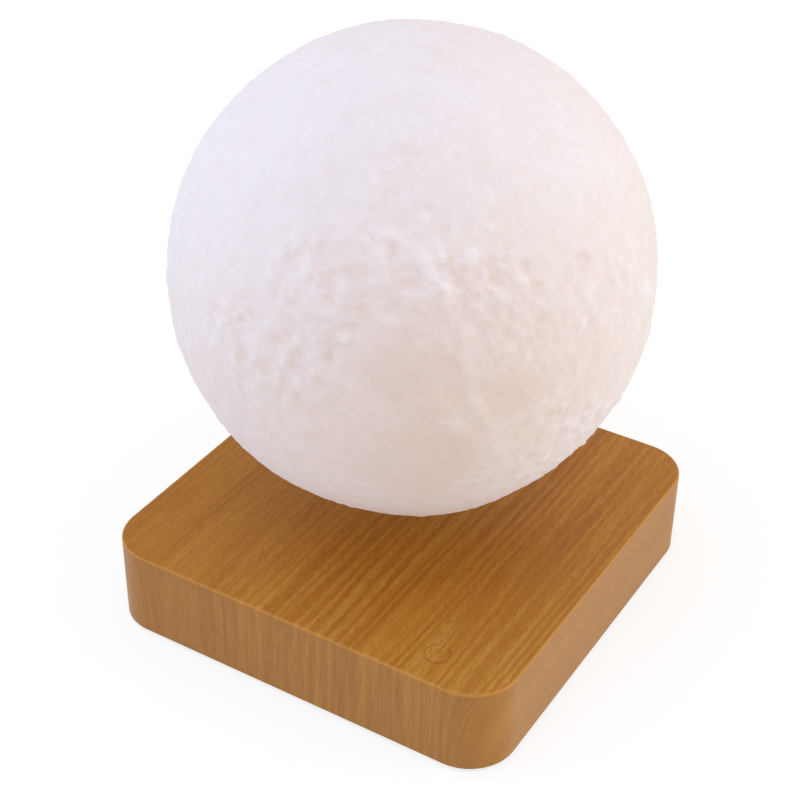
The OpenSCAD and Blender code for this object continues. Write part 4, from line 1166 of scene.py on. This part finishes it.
def chip_legs():
    """The middle of each leg of the driver and control chips, the way it points and its chip's height."""
    low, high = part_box("driver_chips")
    middle = (low.x + high.x) / 2
    for k in range(DRIVER_CHIPS):
        for side in (0, 1):
            for leg in range(DRIVER_LEGS):
                y = (k - (DRIVER_CHIPS - 1) / 2) * CHIP_PITCH + (leg - (DRIVER_LEGS - 1) / 2) * LEG_PITCH
                x = middle + (high.x - low.x) / 2 * (1 if side == 0 else -1)
                yield Vector((x, y, low.z)), side * math.pi, high.z - low.z
    low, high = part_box("control_chip")
    centre = Vector(((low.x + high.x) / 2, (low.y + high.y) / 2, low.z))
    for quarter in range(4):
        turn = quarter * math.pi / 2
        out, side = directions(turn)
        for leg in range(CONTROL_LEGS):
            along = side * (leg - CONTROL_LEGS // 2) * LEG_PITCH * CONTROL_PITCH_SHARE
            yield centre + out * (high.x - low.x) / 2 + along, turn, high.z - low.z


def board_parts(materials):
    """Passives with tinned ends, and the legs of the chips."""
    board_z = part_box("main_board")[1].z
    bodies, ends = ([], []), ([], [])
    length, width, height = PASSIVE_SIZE
    for x, y, upright in PASSIVES:
        turn = upright * math.pi / 2
        place = Vector((x * MM, y * MM, board_z))
        inner = length / 2 - PASSIVE_END
        middle = ((-inner, 0), (inner, 0), (inner, height), (-inner, height))
        append_part(*bodies, *prism(middle, place, turn, width))
        for way in (0, 1):
            fillet = ((inner, 0), (length / 2 + 0.15 * MM, 0), (length / 2, 0.25 * MM),
                      (length / 2, height), (inner, height + 0.02 * MM))
            append_part(*ends, *prism(fillet, place, turn + way * math.pi, width))
    for place, turn, chip_h in chip_legs():
        knee = chip_h * 0.5
        outline = ((0, knee), (0.3 * MM, knee), (0.45 * MM, FOOT_T), (LEG_REACH, FOOT_T), (LEG_REACH, 0),
                   (0.28 * MM, 0), (0.14 * MM, knee - LEG_T), (0, knee - LEG_T))
        append_part(*ends, *prism(outline[::-1], place, turn, LEG_W))
    add_piece("board_passives", *bodies, "base", "chip_black", materials)
    add_piece("board_solder", *ends, "base", "pin_metal", materials)


# ---------- finish ----------

def dress():
    frame["nodes"]["base_housing"].data.materials[0] = wood_film()
    white = moon_print()
    globe = build_moon()
    globe.data.materials.clear()
    globe.data.materials.append(white)
    frame["nodes"]["moon_cap"].data.materials[0] = white
    materials = slot_materials()
    for slot, nodes in NODES_OF_SLOT.items():
        for node in nodes:
            frame["nodes"][node].data.materials[0] = materials[slot]
    flat_coil("transmitter_coil", TX_COIL_IN_R, "base", materials)
    flat_coil("receiver_coil", RX_COIL_IN_R, "moon", materials)
    magnet_windings(materials)
    board_parts(materials)


add_studio()
add_camera()
dress()
